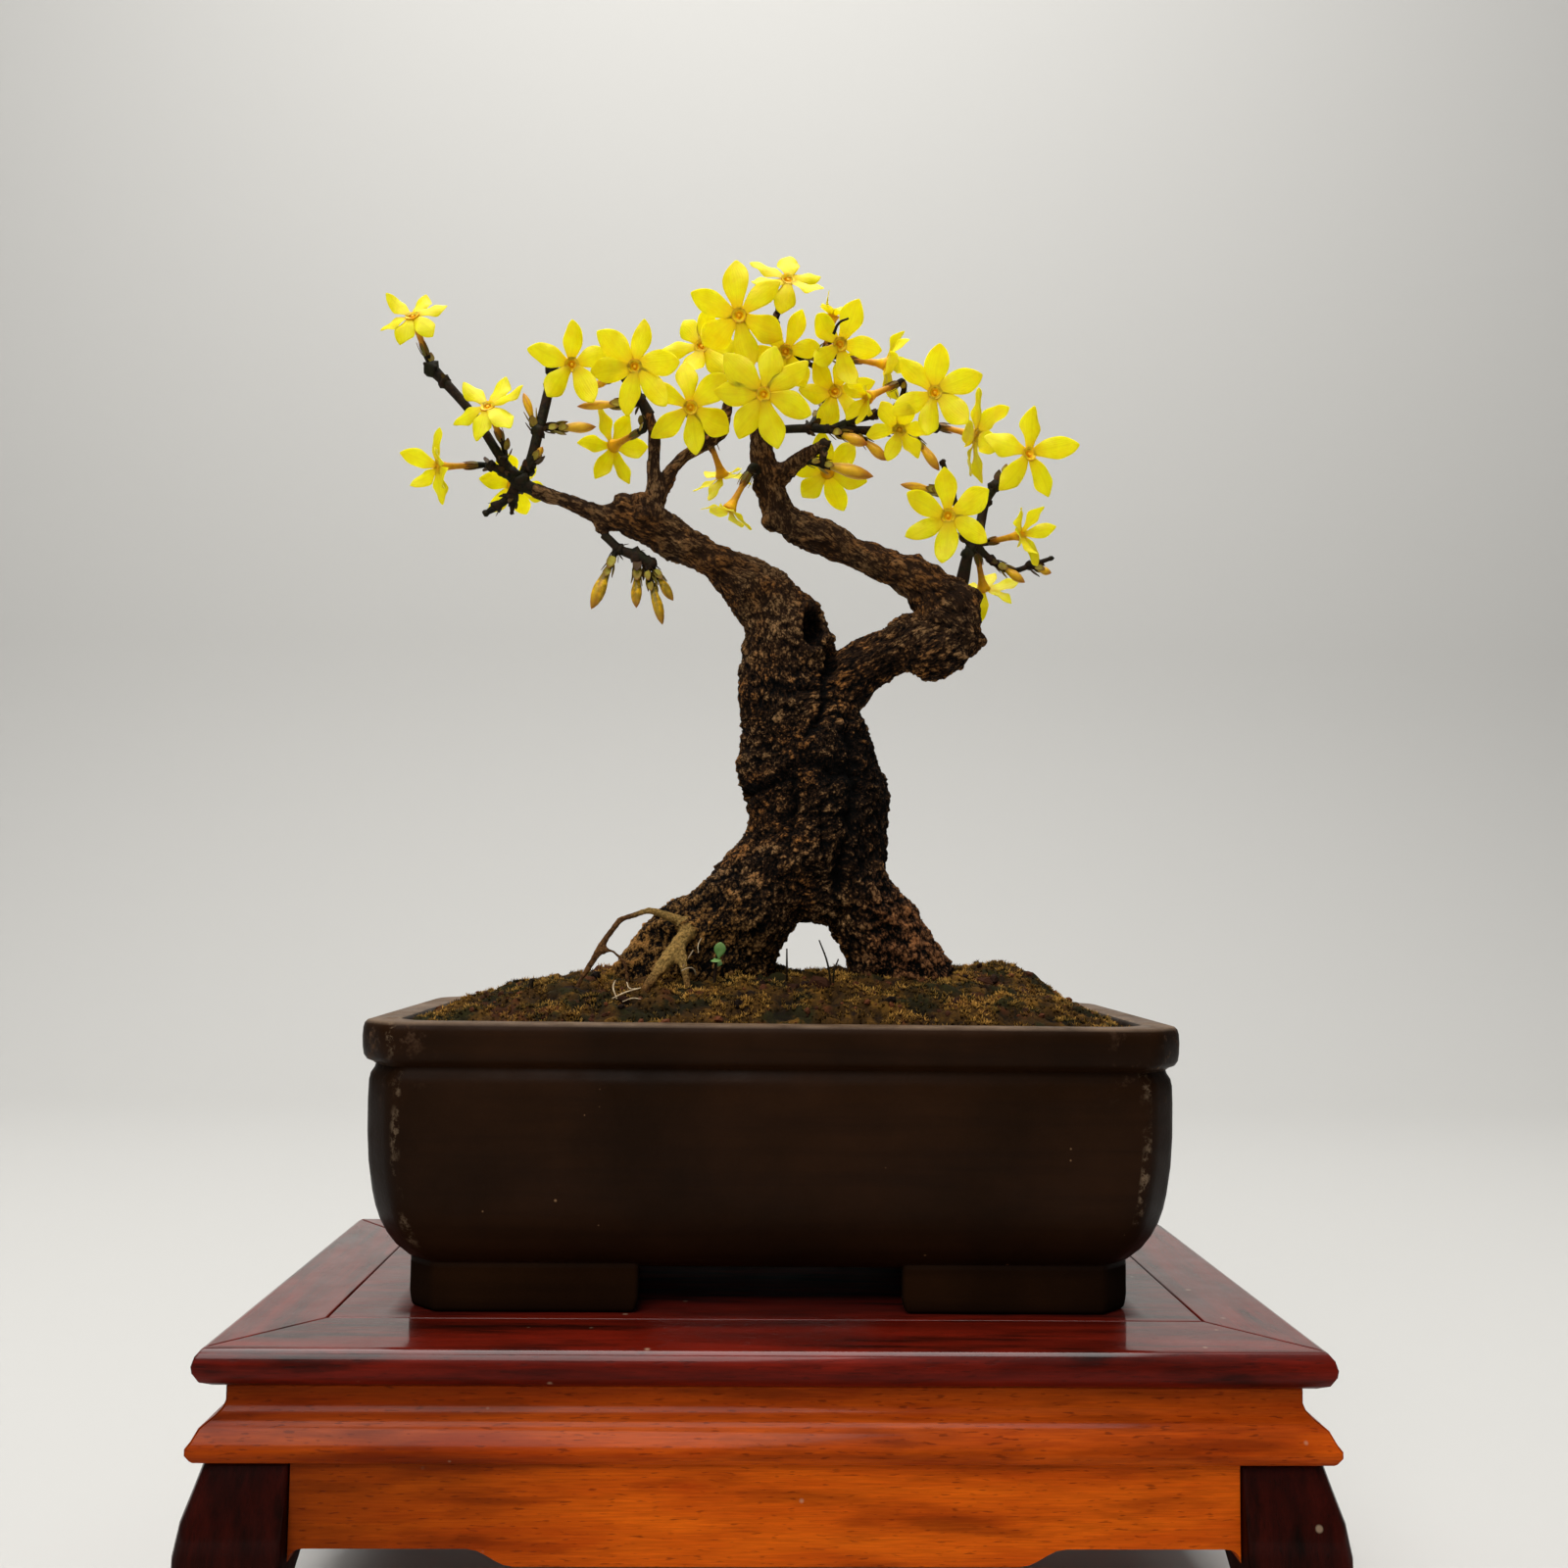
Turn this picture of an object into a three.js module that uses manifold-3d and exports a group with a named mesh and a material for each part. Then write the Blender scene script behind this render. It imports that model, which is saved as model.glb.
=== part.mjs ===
// Winter jasmine bonsai: an old trunk on two spread roots, with bare flowering shoots, in a brown
// stoneware pot that stands on a low hardwood stand.
// Millimetres. +Z is up, +X is the viewer's right, +Y leads away from the viewer, and the origin
// is on the ground under the middle of the stand.

import * as THREE from "three";
import { mergeVertices } from "three/addons/utils/BufferGeometryUtils.js";
import Module from "manifold-3d";

const wasm = await Module();
wasm.setup();

// Gap between pieces that touch, and the part of a mitre's gap that lies on each side.
const JOINT = 0.3;
const MITRE_GAP = JOINT / 2 + 0.05;

// Stand: half sizes are taken at the outermost line of the top's rounded edge.
const STAND_HEIGHT = 80;
const TOP_HALF_X = 127.1;
const TOP_HALF_Y = 73.9;
const TOP_THICK = 8.8;
const SIDE_MEMBER_WIDTH = 22.3;
const FRONT_MEMBER_WIDTH = 27.8;
const PANEL_THICK = 5;
const TONGUE_REACH = 4;
const TONGUE_THICK = 2;
const BATTEN_WIDTH = 18;
const BATTEN_THICK = 6;
const WAIST_SETBACK = 6.1;
const BEAD_SETBACK = -0.5;
const MOULDING_INNER_SETBACK = 20;
const MOULDING_BOTTOM = 55.6;
const APRON_SETBACK = 2.3;
const APRON_THICK = 8;
const APRON_LOW = 37;
const LOBE_LOW = 33.2;
const LEG_WIDTH = 19.2;
const LEG_TOP_SETBACK = 2.5;
const LEG_CORNER = 3;

// Pot: a rectangle with cut corners, on four corner feet.
const POT_HEIGHT = 70;
const POT_CENTRE_X = 0.6;
const POT_CENTRE_Y = 3;
const RIM_HALF_X = 100;
const RIM_HALF_Y = 56.4;
const RIM_CHAMFER = 9.4;
const WALL = 8.6;
const POT_FLOOR = 9;
const FOOT_HEIGHT = 10.5;
const FOOT_INSET = 11.6;
const FOOT_WIDTH = 14;
const FOOT_GAP_X = 32.5;
const FOOT_GAP_Y = 14;
const DRAIN_RADIUS = 7;
const DRAIN_X = 42;

// Soil: a mound with a mossy, lumpy top, and a higher cushion of moss at its right.
const SOIL_EDGE_DROP = 2.6;
const MOUND_HEIGHT = 12.5;
const SOIL_DEEP = 80;
const CUSHION_X = 66;
const CUSHION_Y = 14;
const CUSHION_RADIUS = 12.5;
const CUSHION_HEIGHT = 8;
const WOOD_CLEARANCE = 0.45;
const SEEDLING_CLEARANCE = 0.4;

// Blooms.
const TUBE_LENGTH = 11;
const PETAL_THICK = 0.65;
const PETAL_ROOT = 0.9;
const THROAT_RADIUS = 2;
const SEED = 7;

const RIM_TOP = STAND_HEIGHT + POT_HEIGHT;
const vec = (x, y, z) => new THREE.Vector3(x, y, z);

// A seeded stream of numbers from 0 to 1, the same on every run.
function seededRandom(seed) {
  let state = seed;
  return () => {
    state = (state * 16807) % 2147483647;
    return state / 2147483647;
  };
}

// Six times the volume inside a triangle mesh, negative if its faces point inward.
function signedVolume(position, index) {
  const [a, b, c] = [vec(), vec(), vec()];
  let total = 0;
  for (let i = 0; i < index.length; i += 3) {
    a.fromBufferAttribute(position, index[i]);
    b.fromBufferAttribute(position, index[i + 1]);
    c.fromBufferAttribute(position, index[i + 2]);
    total += a.dot(b.cross(c));
  }
  return total;
}

// A three.js geometry as a solid that can be joined and cut.
function solidOf(geometry) {
  const bare = geometry.clone();
  bare.deleteAttribute("normal");
  bare.deleteAttribute("uv");
  const merged = mergeVertices(bare, 1e-4);
  const triangles = [];
  const index = merged.index.array;
  for (let i = 0; i < index.length; i += 3) {
    const [p, q, r] = [index[i], index[i + 1], index[i + 2]];
    if (p !== q && q !== r && r !== p) {
      triangles.push(p, q, r);
    }
  }
  if (signedVolume(merged.attributes.position, triangles) < 0) {
    triangles.reverse();
  }
  return new wasm.Manifold(new wasm.Mesh({
    numProp: 3,
    vertProperties: new Float32Array(merged.attributes.position.array),
    triVerts: new Uint32Array(triangles),
  }));
}

function geometryOf(solid) {
  const mesh = solid.getMesh();
  const geometry = new THREE.BufferGeometry();
  geometry.setAttribute("position", new THREE.BufferAttribute(new Float32Array(mesh.vertProperties), 3));
  geometry.setIndex(new THREE.BufferAttribute(new Uint32Array(mesh.triVerts), 1));
  geometry.computeVertexNormals();
  return geometry;
}

const joined = (solids) => solids.reduce((whole, next) => whole.add(next));

function box(x0, x1, y0, y1, z0, z1) {
  const geometry = new THREE.BoxGeometry(x1 - x0, y1 - y0, z1 - z0);
  geometry.translate((x0 + x1) / 2, (y0 + y1) / 2, (z0 + z1) / 2);
  return solidOf(geometry);
}

function ball(x, y, z, rx, ry, rz, around = 10) {
  const geometry = new THREE.SphereGeometry(1, around, Math.ceil(around / 2));
  geometry.scale(rx, ry, rz);
  geometry.translate(x, y, z);
  return solidOf(geometry);
}

function centreOf(ring) {
  const sum = ring.reduce((total, point) => total.add(point), vec(0, 0, 0));
  return sum.divideScalar(ring.length);
}

// A closed body through rings that all have the same number of points: a cylinder whose rows of
// vertices are moved onto the rings, and whose end caps follow them.
function throughRings(rings) {
  const steps = rings.length - 1;
  const sides = rings[0].length;
  const geometry = new THREE.CylinderGeometry(1, 1, 1, sides, steps);
  const position = geometry.attributes.position;
  for (let i = 0; i < position.count; i++) {
    const corner = vec().fromBufferAttribute(position, i);
    const ring = rings[Math.round((0.5 - corner.y) * steps)];
    const column = Math.round((Math.atan2(corner.x, corner.z) / (2 * Math.PI)) * sides);
    const onAxis = Math.hypot(corner.x, corner.z) < 0.5;
    const place = onAxis ? centreOf(ring) : ring[(column + sides) % sides];
    position.setXYZ(i, place.x, place.y, place.z);
  }
  return solidOf(geometry);
}

// A body that grows along a smooth curve. Each point is [x, y, z, half width, half depth], with
// the half depth equal to the half width if it is left out. Level rings stay flat on the ground
// plane. The relief gives each ring point a factor from its turn and its place along the curve.
function limb(points, { sides = 5, perPoint = 1, level = false, grow = 0, relief = () => 1 } = {}) {
  const route = new THREE.CatmullRomCurve3(points.map(([x, y, z]) => vec(x, y, z)));
  const girth = new THREE.CatmullRomCurve3(points.map(([, , , w, d = w]) => vec(w, d, 0)));
  const steps = (points.length - 1) * perPoint;
  const across = vec(1, 0, 0);
  const rings = [];
  for (let i = 0; i <= steps; i++) {
    const t = i / steps;
    const centre = route.getPoint(t);
    const tangent = level ? vec(0, 0, 1) : route.getTangent(t);
    if (i === 0 && !level) {
      across.crossVectors(tangent, Math.abs(tangent.y) < 0.9 ? vec(0, 1, 0) : vec(1, 0, 0));
    }
    across.addScaledVector(tangent, -across.dot(tangent)).normalize();
    const deep = vec().crossVectors(across, tangent);
    const size = girth.getPoint(t);
    const ring = [];
    for (let k = 0; k < sides; k++) {
      const turn = (2 * Math.PI * k) / sides;
      const factor = relief(turn, t * (points.length - 1));
      const point = centre.clone();
      point.addScaledVector(across, (size.x * factor + grow) * Math.cos(turn));
      point.addScaledVector(deep, (size.y * factor + grow) * Math.sin(turn));
      ring.push(point);
    }
    rings.push(ring);
  }
  return throughRings(rings);
}

// Ridges that wander round old wood, with swellings along it.
const oldWood = (depth, phase) => (turn, along) => 1
  + depth * 0.5 * Math.sin(3 * turn + phase + 0.7 * along)
  + depth * 0.35 * Math.sin(5 * turn - 2 * phase - 0.9 * along)
  + depth * 0.4 * Math.sin(2.6 * along + phase);

// A profile of [setback, height] points, drawn out along one side of the stand. The setback runs
// inward from the outermost line, and reach gives half the length at each setback.
function sideMoulding(profile, side, reach) {
  const shape = new THREE.Shape(profile.map(([setback, z]) => new THREE.Vector2(setback, z)));
  const geometry = new THREE.ExtrudeGeometry(shape, { depth: 1, steps: 1, bevelEnabled: false });
  const position = geometry.attributes.position;
  const alongX = side === "front" || side === "back";
  const sign = side === "front" || side === "left" ? -1 : 1;
  const half = alongX ? TOP_HALF_Y : TOP_HALF_X;
  for (let i = 0; i < position.count; i++) {
    const setback = position.getX(i);
    const end = position.getZ(i) < 0.5 ? -1 : 1;
    const out = sign * (half - setback);
    const run = end * reach(setback, alongX);
    position.setXYZ(i, alongX ? run : out, alongX ? out : run, position.getY(i));
  }
  return solidOf(geometry);
}

// Mitre of the top, whose front and side members differ in width.
function topMitre(setback, alongX) {
  const slope = SIDE_MEMBER_WIDTH / FRONT_MEMBER_WIDTH;
  const back = alongX ? setback * slope : setback / slope;
  return (alongX ? TOP_HALF_X : TOP_HALF_Y) - back - MITRE_GAP;
}

// Plain mitre at 45 degrees.
function evenMitre(setback, alongX) {
  return (alongX ? TOP_HALF_X : TOP_HALF_Y) - setback - MITRE_GAP;
}

// Frame member of the top: a rounded outer edge, and a groove for the panel's tongue.
function topMember(side) {
  const width = side === "front" || side === "back" ? FRONT_MEMBER_WIDTH : SIDE_MEMBER_WIDTH;
  const top = STAND_HEIGHT;
  const low = top - TOP_THICK;
  const tongueTop = top - PANEL_THICK / 2 + TONGUE_THICK / 2 + JOINT;
  const tongueLow = top - PANEL_THICK / 2 - TONGUE_THICK / 2 - JOINT;
  const profile = [
    [width, low], [8, low], [4, low + 0.2], [1.4, low + 1.4], [0.2, low + 3.4],
    [0, low + 5], [0.5, low + 6.9], [1.6, low + 8.3], [2.8, top], [width, top],
    [width, tongueTop], [width - TONGUE_REACH - JOINT, tongueTop],
    [width - TONGUE_REACH - JOINT, tongueLow], [width, tongueLow],
  ];
  return sideMoulding(profile, side, topMitre);
}

function topPanel() {
  const halfX = TOP_HALF_X - SIDE_MEMBER_WIDTH - JOINT;
  const halfY = TOP_HALF_Y - FRONT_MEMBER_WIDTH - JOINT;
  const top = STAND_HEIGHT;
  const mid = top - PANEL_THICK / 2;
  const board = box(-halfX, halfX, -halfY, halfY, top - PANEL_THICK, top);
  const [tongueX, tongueY] = [halfX + TONGUE_REACH, halfY + TONGUE_REACH];
  const tongue = box(-tongueX, tongueX, -tongueY, tongueY, mid - TONGUE_THICK / 2, mid + TONGUE_THICK / 2);
  return board.add(tongue);
}

// Cross bar under the panel, between the front and back members.
function panelBatten() {
  const halfY = TOP_HALF_Y - FRONT_MEMBER_WIDTH - JOINT;
  const top = STAND_HEIGHT - PANEL_THICK - JOINT;
  return box(-BATTEN_WIDTH / 2, BATTEN_WIDTH / 2, -halfY, halfY, top - BATTEN_THICK, top);
}

// Recessed waist, then a long ogee that flares out to a round bead.
function waistMoulding(side) {
  const top = STAND_HEIGHT - TOP_THICK - JOINT;
  const waist = WAIST_SETBACK;
  const bead = BEAD_SETBACK;
  const profile = [
    [MOULDING_INNER_SETBACK, top], [waist, top], [waist, 67.4], [waist - 0.5, 66], [waist - 1.8, 64.6],
    [waist - 4.4, 62.6], [waist - 5.2, 61], [bead + 1, 60.2], [bead, 58.8], [bead, 57.4],
    [bead + 1.1, MOULDING_BOTTOM], [MOULDING_INNER_SETBACK, MOULDING_BOTTOM],
  ];
  return sideMoulding(profile, side, evenMitre);
}

// Apron between two legs: straight by the legs, with a middle lobe that hangs lower.
function apron(side) {
  const alongX = side === "front" || side === "back";
  const sign = side === "front" || side === "left" ? -1 : 1;
  const half = (alongX ? TOP_HALF_X : TOP_HALF_Y) - LEG_TOP_SETBACK - LEG_WIDTH - JOINT;
  const step = half * 0.63;
  const lobe = half * 0.54;
  const top = MOULDING_BOTTOM - JOINT;
  const outline = new THREE.Shape();
  outline.moveTo(-half, top);
  outline.lineTo(-half, APRON_LOW - 3);
  outline.quadraticCurveTo(-half + 0.4, APRON_LOW, -half + 3.4, APRON_LOW);
  outline.lineTo(-step, APRON_LOW);
  outline.bezierCurveTo(-step + 4, APRON_LOW, -lobe - 3, LOBE_LOW, -lobe + 1, LOBE_LOW);
  outline.lineTo(lobe - 1, LOBE_LOW);
  outline.bezierCurveTo(lobe + 3, LOBE_LOW, step - 4, APRON_LOW, step, APRON_LOW);
  outline.lineTo(half - 3.4, APRON_LOW);
  outline.quadraticCurveTo(half - 0.4, APRON_LOW, half, APRON_LOW - 3);
  outline.lineTo(half, top);
  const geometry = new THREE.ExtrudeGeometry(outline, {
    depth: APRON_THICK, steps: 1, bevelEnabled: false, curveSegments: 5,
  });
  geometry.rotateX(Math.PI / 2);
  geometry.translate(0, APRON_THICK, 0);
  const face = (alongX ? TOP_HALF_Y : TOP_HALF_X) - APRON_SETBACK;
  geometry.translate(0, -face, 0);
  const turns = { front: 0, right: 1, back: 2, left: 3 };
  geometry.rotateZ((turns[side] * Math.PI) / 2);
  return solidOf(geometry);
}

// Leg: square in section with a rounded outer corner, bulging below the apron and drawn in
// to a small flared foot. Each station is [height, outward shift, inner face shift].
function leg(signX, signY) {
  const stations = [
    [MOULDING_BOTTOM - JOINT, 0, 0], [50, 1.6, 0], [43, 3.8, 0], [36, 4.9, 0], [29, 5, -1.6],
    [21, 3.2, -3.6], [13, 0, -5.4], [7, -2.2, -5.6], [3, -2.2, -4.2], [0, -1.2, -3],
  ];
  const rings = stations.map(([z, outward, inward]) => {
    const outer = TOP_HALF_X - LEG_TOP_SETBACK + outward;
    const inner = TOP_HALF_X - LEG_TOP_SETBACK - LEG_WIDTH - inward;
    const toY = TOP_HALF_Y - TOP_HALF_X;
    const square = [
      [inner, inner], [outer, inner], [outer, outer - LEG_CORNER],
      [outer - LEG_CORNER * 0.3, outer - LEG_CORNER * 0.3], [outer - LEG_CORNER, outer], [inner, outer],
    ];
    return square.map(([x, y]) => vec(signX * x, signY * (y + toY), z));
  });
  return throughRings(rings);
}

// A level rectangle with cut corners.
function cutRectangle(halfX, halfY, cut, z) {
  const corners = [
    [halfX, -halfY + cut], [halfX, halfY - cut], [halfX - cut, halfY], [-halfX + cut, halfY],
    [-halfX, halfY - cut], [-halfX, -halfY + cut], [-halfX + cut, -halfY], [halfX - cut, -halfY],
  ];
  return corners.map(([x, y]) => vec(x + POT_CENTRE_X, y + POT_CENTRE_Y, z));
}

// Cut rectangles from stations of [depth below the rim, inset from the rim], as one body.
function potBody(stations, cut) {
  return throughRings(stations.map(([depth, inset]) => cutRectangle(
    RIM_HALF_X - inset, RIM_HALF_Y - inset, cut, RIM_TOP - depth)));
}

// Inside of the pot, down to its floor. The inset shrinks it.
function potHollow(inset, above) {
  const deepest = POT_HEIGHT - FOOT_HEIGHT - POT_FLOOR;
  return potBody([
    [-above, WALL + inset], [24, WALL + inset + 0.6], [deepest - 9, WALL + inset + 4],
    [deepest - inset, WALL + inset + 10],
  ], RIM_CHAMFER - 3);
}

function pot() {
  const bottom = POT_HEIGHT - FOOT_HEIGHT;
  const outside = potBody([
    [0, 0.9], [0.9, 0.1], [4.5, 0], [8.6, 0.2], [9.8, 1.2], [10.6, 1.9], [14, 1.5], [27, 1.5],
    [34, 2], [41, 2.9], [48, 4.6], [54.5, 8], [bottom, 12.4],
  ], RIM_CHAMFER);
  const feet = potBody([[bottom - 3, FOOT_INSET], [POT_HEIGHT - 1.5, FOOT_INSET],
    [POT_HEIGHT, FOOT_INSET + 1]], RIM_CHAMFER - 2.2);
  const within = FOOT_INSET + FOOT_WIDTH;
  const innerFeet = potBody([[bottom, within], [POT_HEIGHT + 1, within]], 2);
  const low = STAND_HEIGHT - 1;
  const high = STAND_HEIGHT + FOOT_HEIGHT;
  const gapX = box(-FOOT_GAP_X, FOOT_GAP_X, -RIM_HALF_Y, RIM_HALF_Y + 2 * POT_CENTRE_Y, low, high);
  const gapY = box(-RIM_HALF_X, RIM_HALF_X, POT_CENTRE_Y - FOOT_GAP_Y, POT_CENTRE_Y + FOOT_GAP_Y, low, high);
  let body = outside.add(feet.subtract(innerFeet).subtract(gapX).subtract(gapY));
  body = body.subtract(potHollow(0, 1));
  for (const x of [-DRAIN_X, DRAIN_X]) {
    const drain = new THREE.CylinderGeometry(DRAIN_RADIUS, DRAIN_RADIUS, 3 * POT_FLOOR, 14);
    drain.rotateX(Math.PI / 2);
    drain.translate(x + POT_CENTRE_X, POT_CENTRE_Y, high + POT_FLOOR / 2);
    body = body.subtract(solidOf(drain));
  }
  return body;
}

// Old wood: the trunk, in level sections.
const TRUNK = [
  [10.6, 2, 174.4, 10, 9], [7.4, 2, 180, 24, 15], [7.2, 2, 187, 24.4, 17], [11, 2, 194, 21, 17.5],
  [13, 2, 203.5, 20, 17], [12, 2, 214.6, 19.6, 16.5], [9, 2, 228.7, 17.8, 15], [6.4, 2, 239, 15, 13.5],
  [4.8, 1, 250, 12, 11],
];

// Left limb: it leaves the top of the trunk and thins to a twig.
const LEFT_LIMB = [
  [6, 1, 240, 13, 12], [4.6, 1, 249.4, 12.4, 12], [1.4, 1, 258.6, 10.8, 11], [-6, 0, 265.8, 8.1, 9],
  [-14, -1, 271.4, 6.2, 7.2], [-19.8, -1, 275.4, 5.5, 6.4], [-27.8, -2, 279.8, 5.4, 6],
  [-36, -3, 283.6, 6.6, 6.4], [-43, -4, 284.8, 4.2, 4.2], [-49.5, -4, 285.6, 2.9, 3],
  [-56.9, -5, 288.4, 2.1], [-63, -5.5, 290.1, 1.9], [-66.5, -5.8, 291.5, 2],
];

// Two spread roots that carry the trunk, as level sections down into the soil.
const LEFT_ROOT = [
  [6, 2, 193, 14, 13], [-3, 1, 184, 18.5, 15.5], [-9.6, 0, 176.5, 20, 15.5], [-15, -1, 170, 21.5, 14.5],
  [-19.5, -1, 163, 22.5, 14], [-21, -1, 156, 21, 12.5], [-21, -1, 148, 15, 9],
];
const RIGHT_ROOT = [
  [16, 2, 194, 14, 14], [21.4, 2, 185, 13.4, 13.5], [26.4, 2, 178, 13.4, 13], [30.6, 2, 171, 14.2, 12.5],
  [34, 2, 165, 14.4, 12], [35.5, 1, 158, 15, 11], [36, 1, 148, 11, 8],
];

// Right branch: out to a knot, then folded back up to the middle of the crown.
const RIGHT_BRANCH = [
  [11, 1, 232, 9, 9], [18, 0, 239.4, 8.6, 8.6], [25, -1, 244.8, 7.4, 7.6], [31, -2.5, 247.6, 6.8, 7.2],
  [37.5, -4.5, 250, 8.2, 8], [44, -6.5, 249.6, 9.4, 9], [48.4, -7, 252.6, 9.2, 9], [48.2, -6, 259, 8.6, 8.4],
  [44, -3.5, 266, 7, 7], [34.2, 0, 271.2, 4.7, 5.4], [22, 2, 277.4, 4, 4.6], [12.4, 4, 282, 4.9, 5],
  [3.2, 5, 286.8, 4.9, 4.8], [-1, 6, 294, 4.6, 4.6], [-2.6, 7, 301.5, 4.7, 4.5], [-4.1, 7, 308.6, 3.5],
  [-4.5, 6, 314, 2.7],
];

// Thinner woody branches: upright and side branch on the left limb, side branch in the middle,
// drooping twig, and the stub under the right shoot.
const WOODY_BRANCHES = [
  [[-33, -3, 284, 4.4], [-33.2, -3, 289, 3.4], [-33.3, -3, 295.4, 2.2], [-33.7, -3, 301, 1.7],
    [-33.5, -3, 308.4, 1.5], [-35.4, -3, 314.6, 1.4]],
  [[-32, -2.5, 290, 2.6], [-28.9, -0.5, 299, 2], [-25.7, 1, 303.3, 1.8], [-19, 2, 307.7, 1.8],
    [-14.6, 2, 311, 1.8], [-13.1, 2, 322, 1.4]],
  [[-1, 6.5, 298, 3.4], [6.7, 5, 304, 2.5], [12.6, 4, 307.8, 1.7], [15.2, 3, 308.6, 1.4]],
  [[-49.6, -4, 285, 1.6], [-47.6, -4.2, 281, 1.4], [-46, -4.6, 279, 1.3]],
  [[48, -5, 262, 3.6], [50.5, -5, 266, 2.6], [51.8, -5, 268.7, 2.1]],
];

// Swellings as [x, y, z, half sizes]: where the left limb forks, and the knot of the right branch.
const SWELLINGS = [[-37.4, -3, 285.4, 6, 5.6, 5.6], [43.8, -7, 248, 10.2, 9.4, 9]];

// Old hollow in the front of the trunk, in the same form.
const HOLLOW = [10.8, -8.6, 254.4, 2.5, 6.4, 5.4];

// Thin roots in front of the left root: one loops through the air, one forks over the soil.
const THIN_ROOTS = [
  [[-19, -10, 171, 2.4], [-24.3, -15, 174.5, 1.8], [-31.7, -17, 177, 1.3], [-39.3, -18, 174.5, 1.3],
    [-43.4, -18, 168.6, 1.3], [-46.6, -18, 163, 1.3], [-50.1, -18, 157, 1.3], [-51, -18, 149, 1.2]],
  [[-44.6, -18, 166, 1.1], [-41, -18.4, 166.4, 1], [-37.6, -18.8, 163, 1], [-36.4, -19, 154, 1]],
  [[-18, -11, 174, 2.4], [-21.9, -16.4, 171.4, 2.2], [-24.5, -19.5, 167, 2.3], [-27.6, -22, 163, 2.1],
    [-31.6, -25, 157.6, 1.5], [-33, -26, 149, 1.2]],
  [[-24, -19, 168, 1.7], [-22.4, -22, 162.6, 1.5], [-21, -24, 157, 1.3], [-20.6, -24.6, 149, 1.1]],
];

// Leafless green shoots. Each spray starts JOINT clear of the wood that carries it.
const SPRAYS = {
  left_tip: [
    [[-67.1, -5.9, 291.8, 2], [-69.6, -6, 293, 2.3], [-71.8, -6.4, 295.2, 1.8], [-74.6, -7, 299, 1.4],
      [-82.7, -8, 311.1, 1.3], [-90.6, -9, 320, 1.5], [-94, -9, 323.4, 1.9]],
    [[-70, -6, 293.4, 1.8], [-68.2, -5.2, 296.8, 1.6], [-65.4, -4.4, 308, 1.6], [-62.6, -3.6, 322, 1.5],
      [-62, -3.4, 326, 1.7]],
    [[-71, -6, 293.6, 1.6], [-74, -6.4, 295.8, 1.3], [-77.6, -7, 297.4, 1.2]],
    [[-70.8, -6, 293.4, 1.4], [-73, -6, 289, 1.2], [-76, -6.3, 286.4, 1.3], [-78.8, -6.5, 284.4, 0.8]],
    [[-71, -6, 293.4, 1.4], [-71.6, -6.3, 288.4, 1.4], [-71.8, -6.6, 284.6, 0.5]],
  ],
  hanging_buds: [
    [[-45.7, -4.7, 278.4, 1.3], [-42.2, -5, 275.3, 1.3], [-37.6, -6, 273.4, 1.8], [-34, -6, 271.4, 1.6]],
  ],
  crown_left: [
    [[-35.6, -3, 315.2, 1.4], [-37.4, -3, 318, 1.4], [-39.6, -2.6, 321, 1.4], [-43.4, -1, 326, 1.1],
      [-47, 0, 332.4, 0.9]],
  ],
  crown_middle_left: [
    [[-13, 2, 322.6, 1.4], [-11.6, 1.6, 326.4, 1.3], [-9.7, 1, 331, 1.2], [-9.3, 0.4, 334.6, 1.1]],
  ],
  crown_middle: [
    [[-4.6, 6, 314.6, 2.3], [-3.6, 5, 321, 1.8], [-1, 4, 329, 1.5], [0.2, 4, 337, 1.3],
      [-0.4, 4.4, 343, 1.2]],
  ],
  right_twig: [
    [[-1.2, 5.5, 312.8, 1.3], [9.7, 5, 313.3, 1.4], [19.1, 4, 312.7, 1.4], [30.6, 3, 312.6, 1.4],
      [42.6, 3, 313.6, 1.2], [45.4, 3.4, 313.8, 1.1]],
    [[16, 4.2, 312.9, 1.3], [21, 3.6, 315, 1.3], [27.3, 3, 316.9, 1.3], [35.3, 2, 319, 1.4]],
  ],
  right_end: [
    [[52, -5, 269.1, 2], [53.4, -5, 275.5, 1.6], [56.5, -4, 282.7, 1.5], [58.6, -3, 291.2, 1.4],
      [61, -2.8, 295.4, 1.5]],
    [[54.8, -4.5, 279, 1.3], [60, -1, 275.4, 1], [66, 3, 273, 0.9], [74, 5, 275.6, 0.8],
      [78.4, 5, 277.2, 0.6]],
    [[54.6, -4.6, 278, 1.3], [52.4, -2.4, 284, 1], [49.4, -1, 294, 0.9], [46.8, -1, 302.4, 0.8]],
  ],
};

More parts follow.
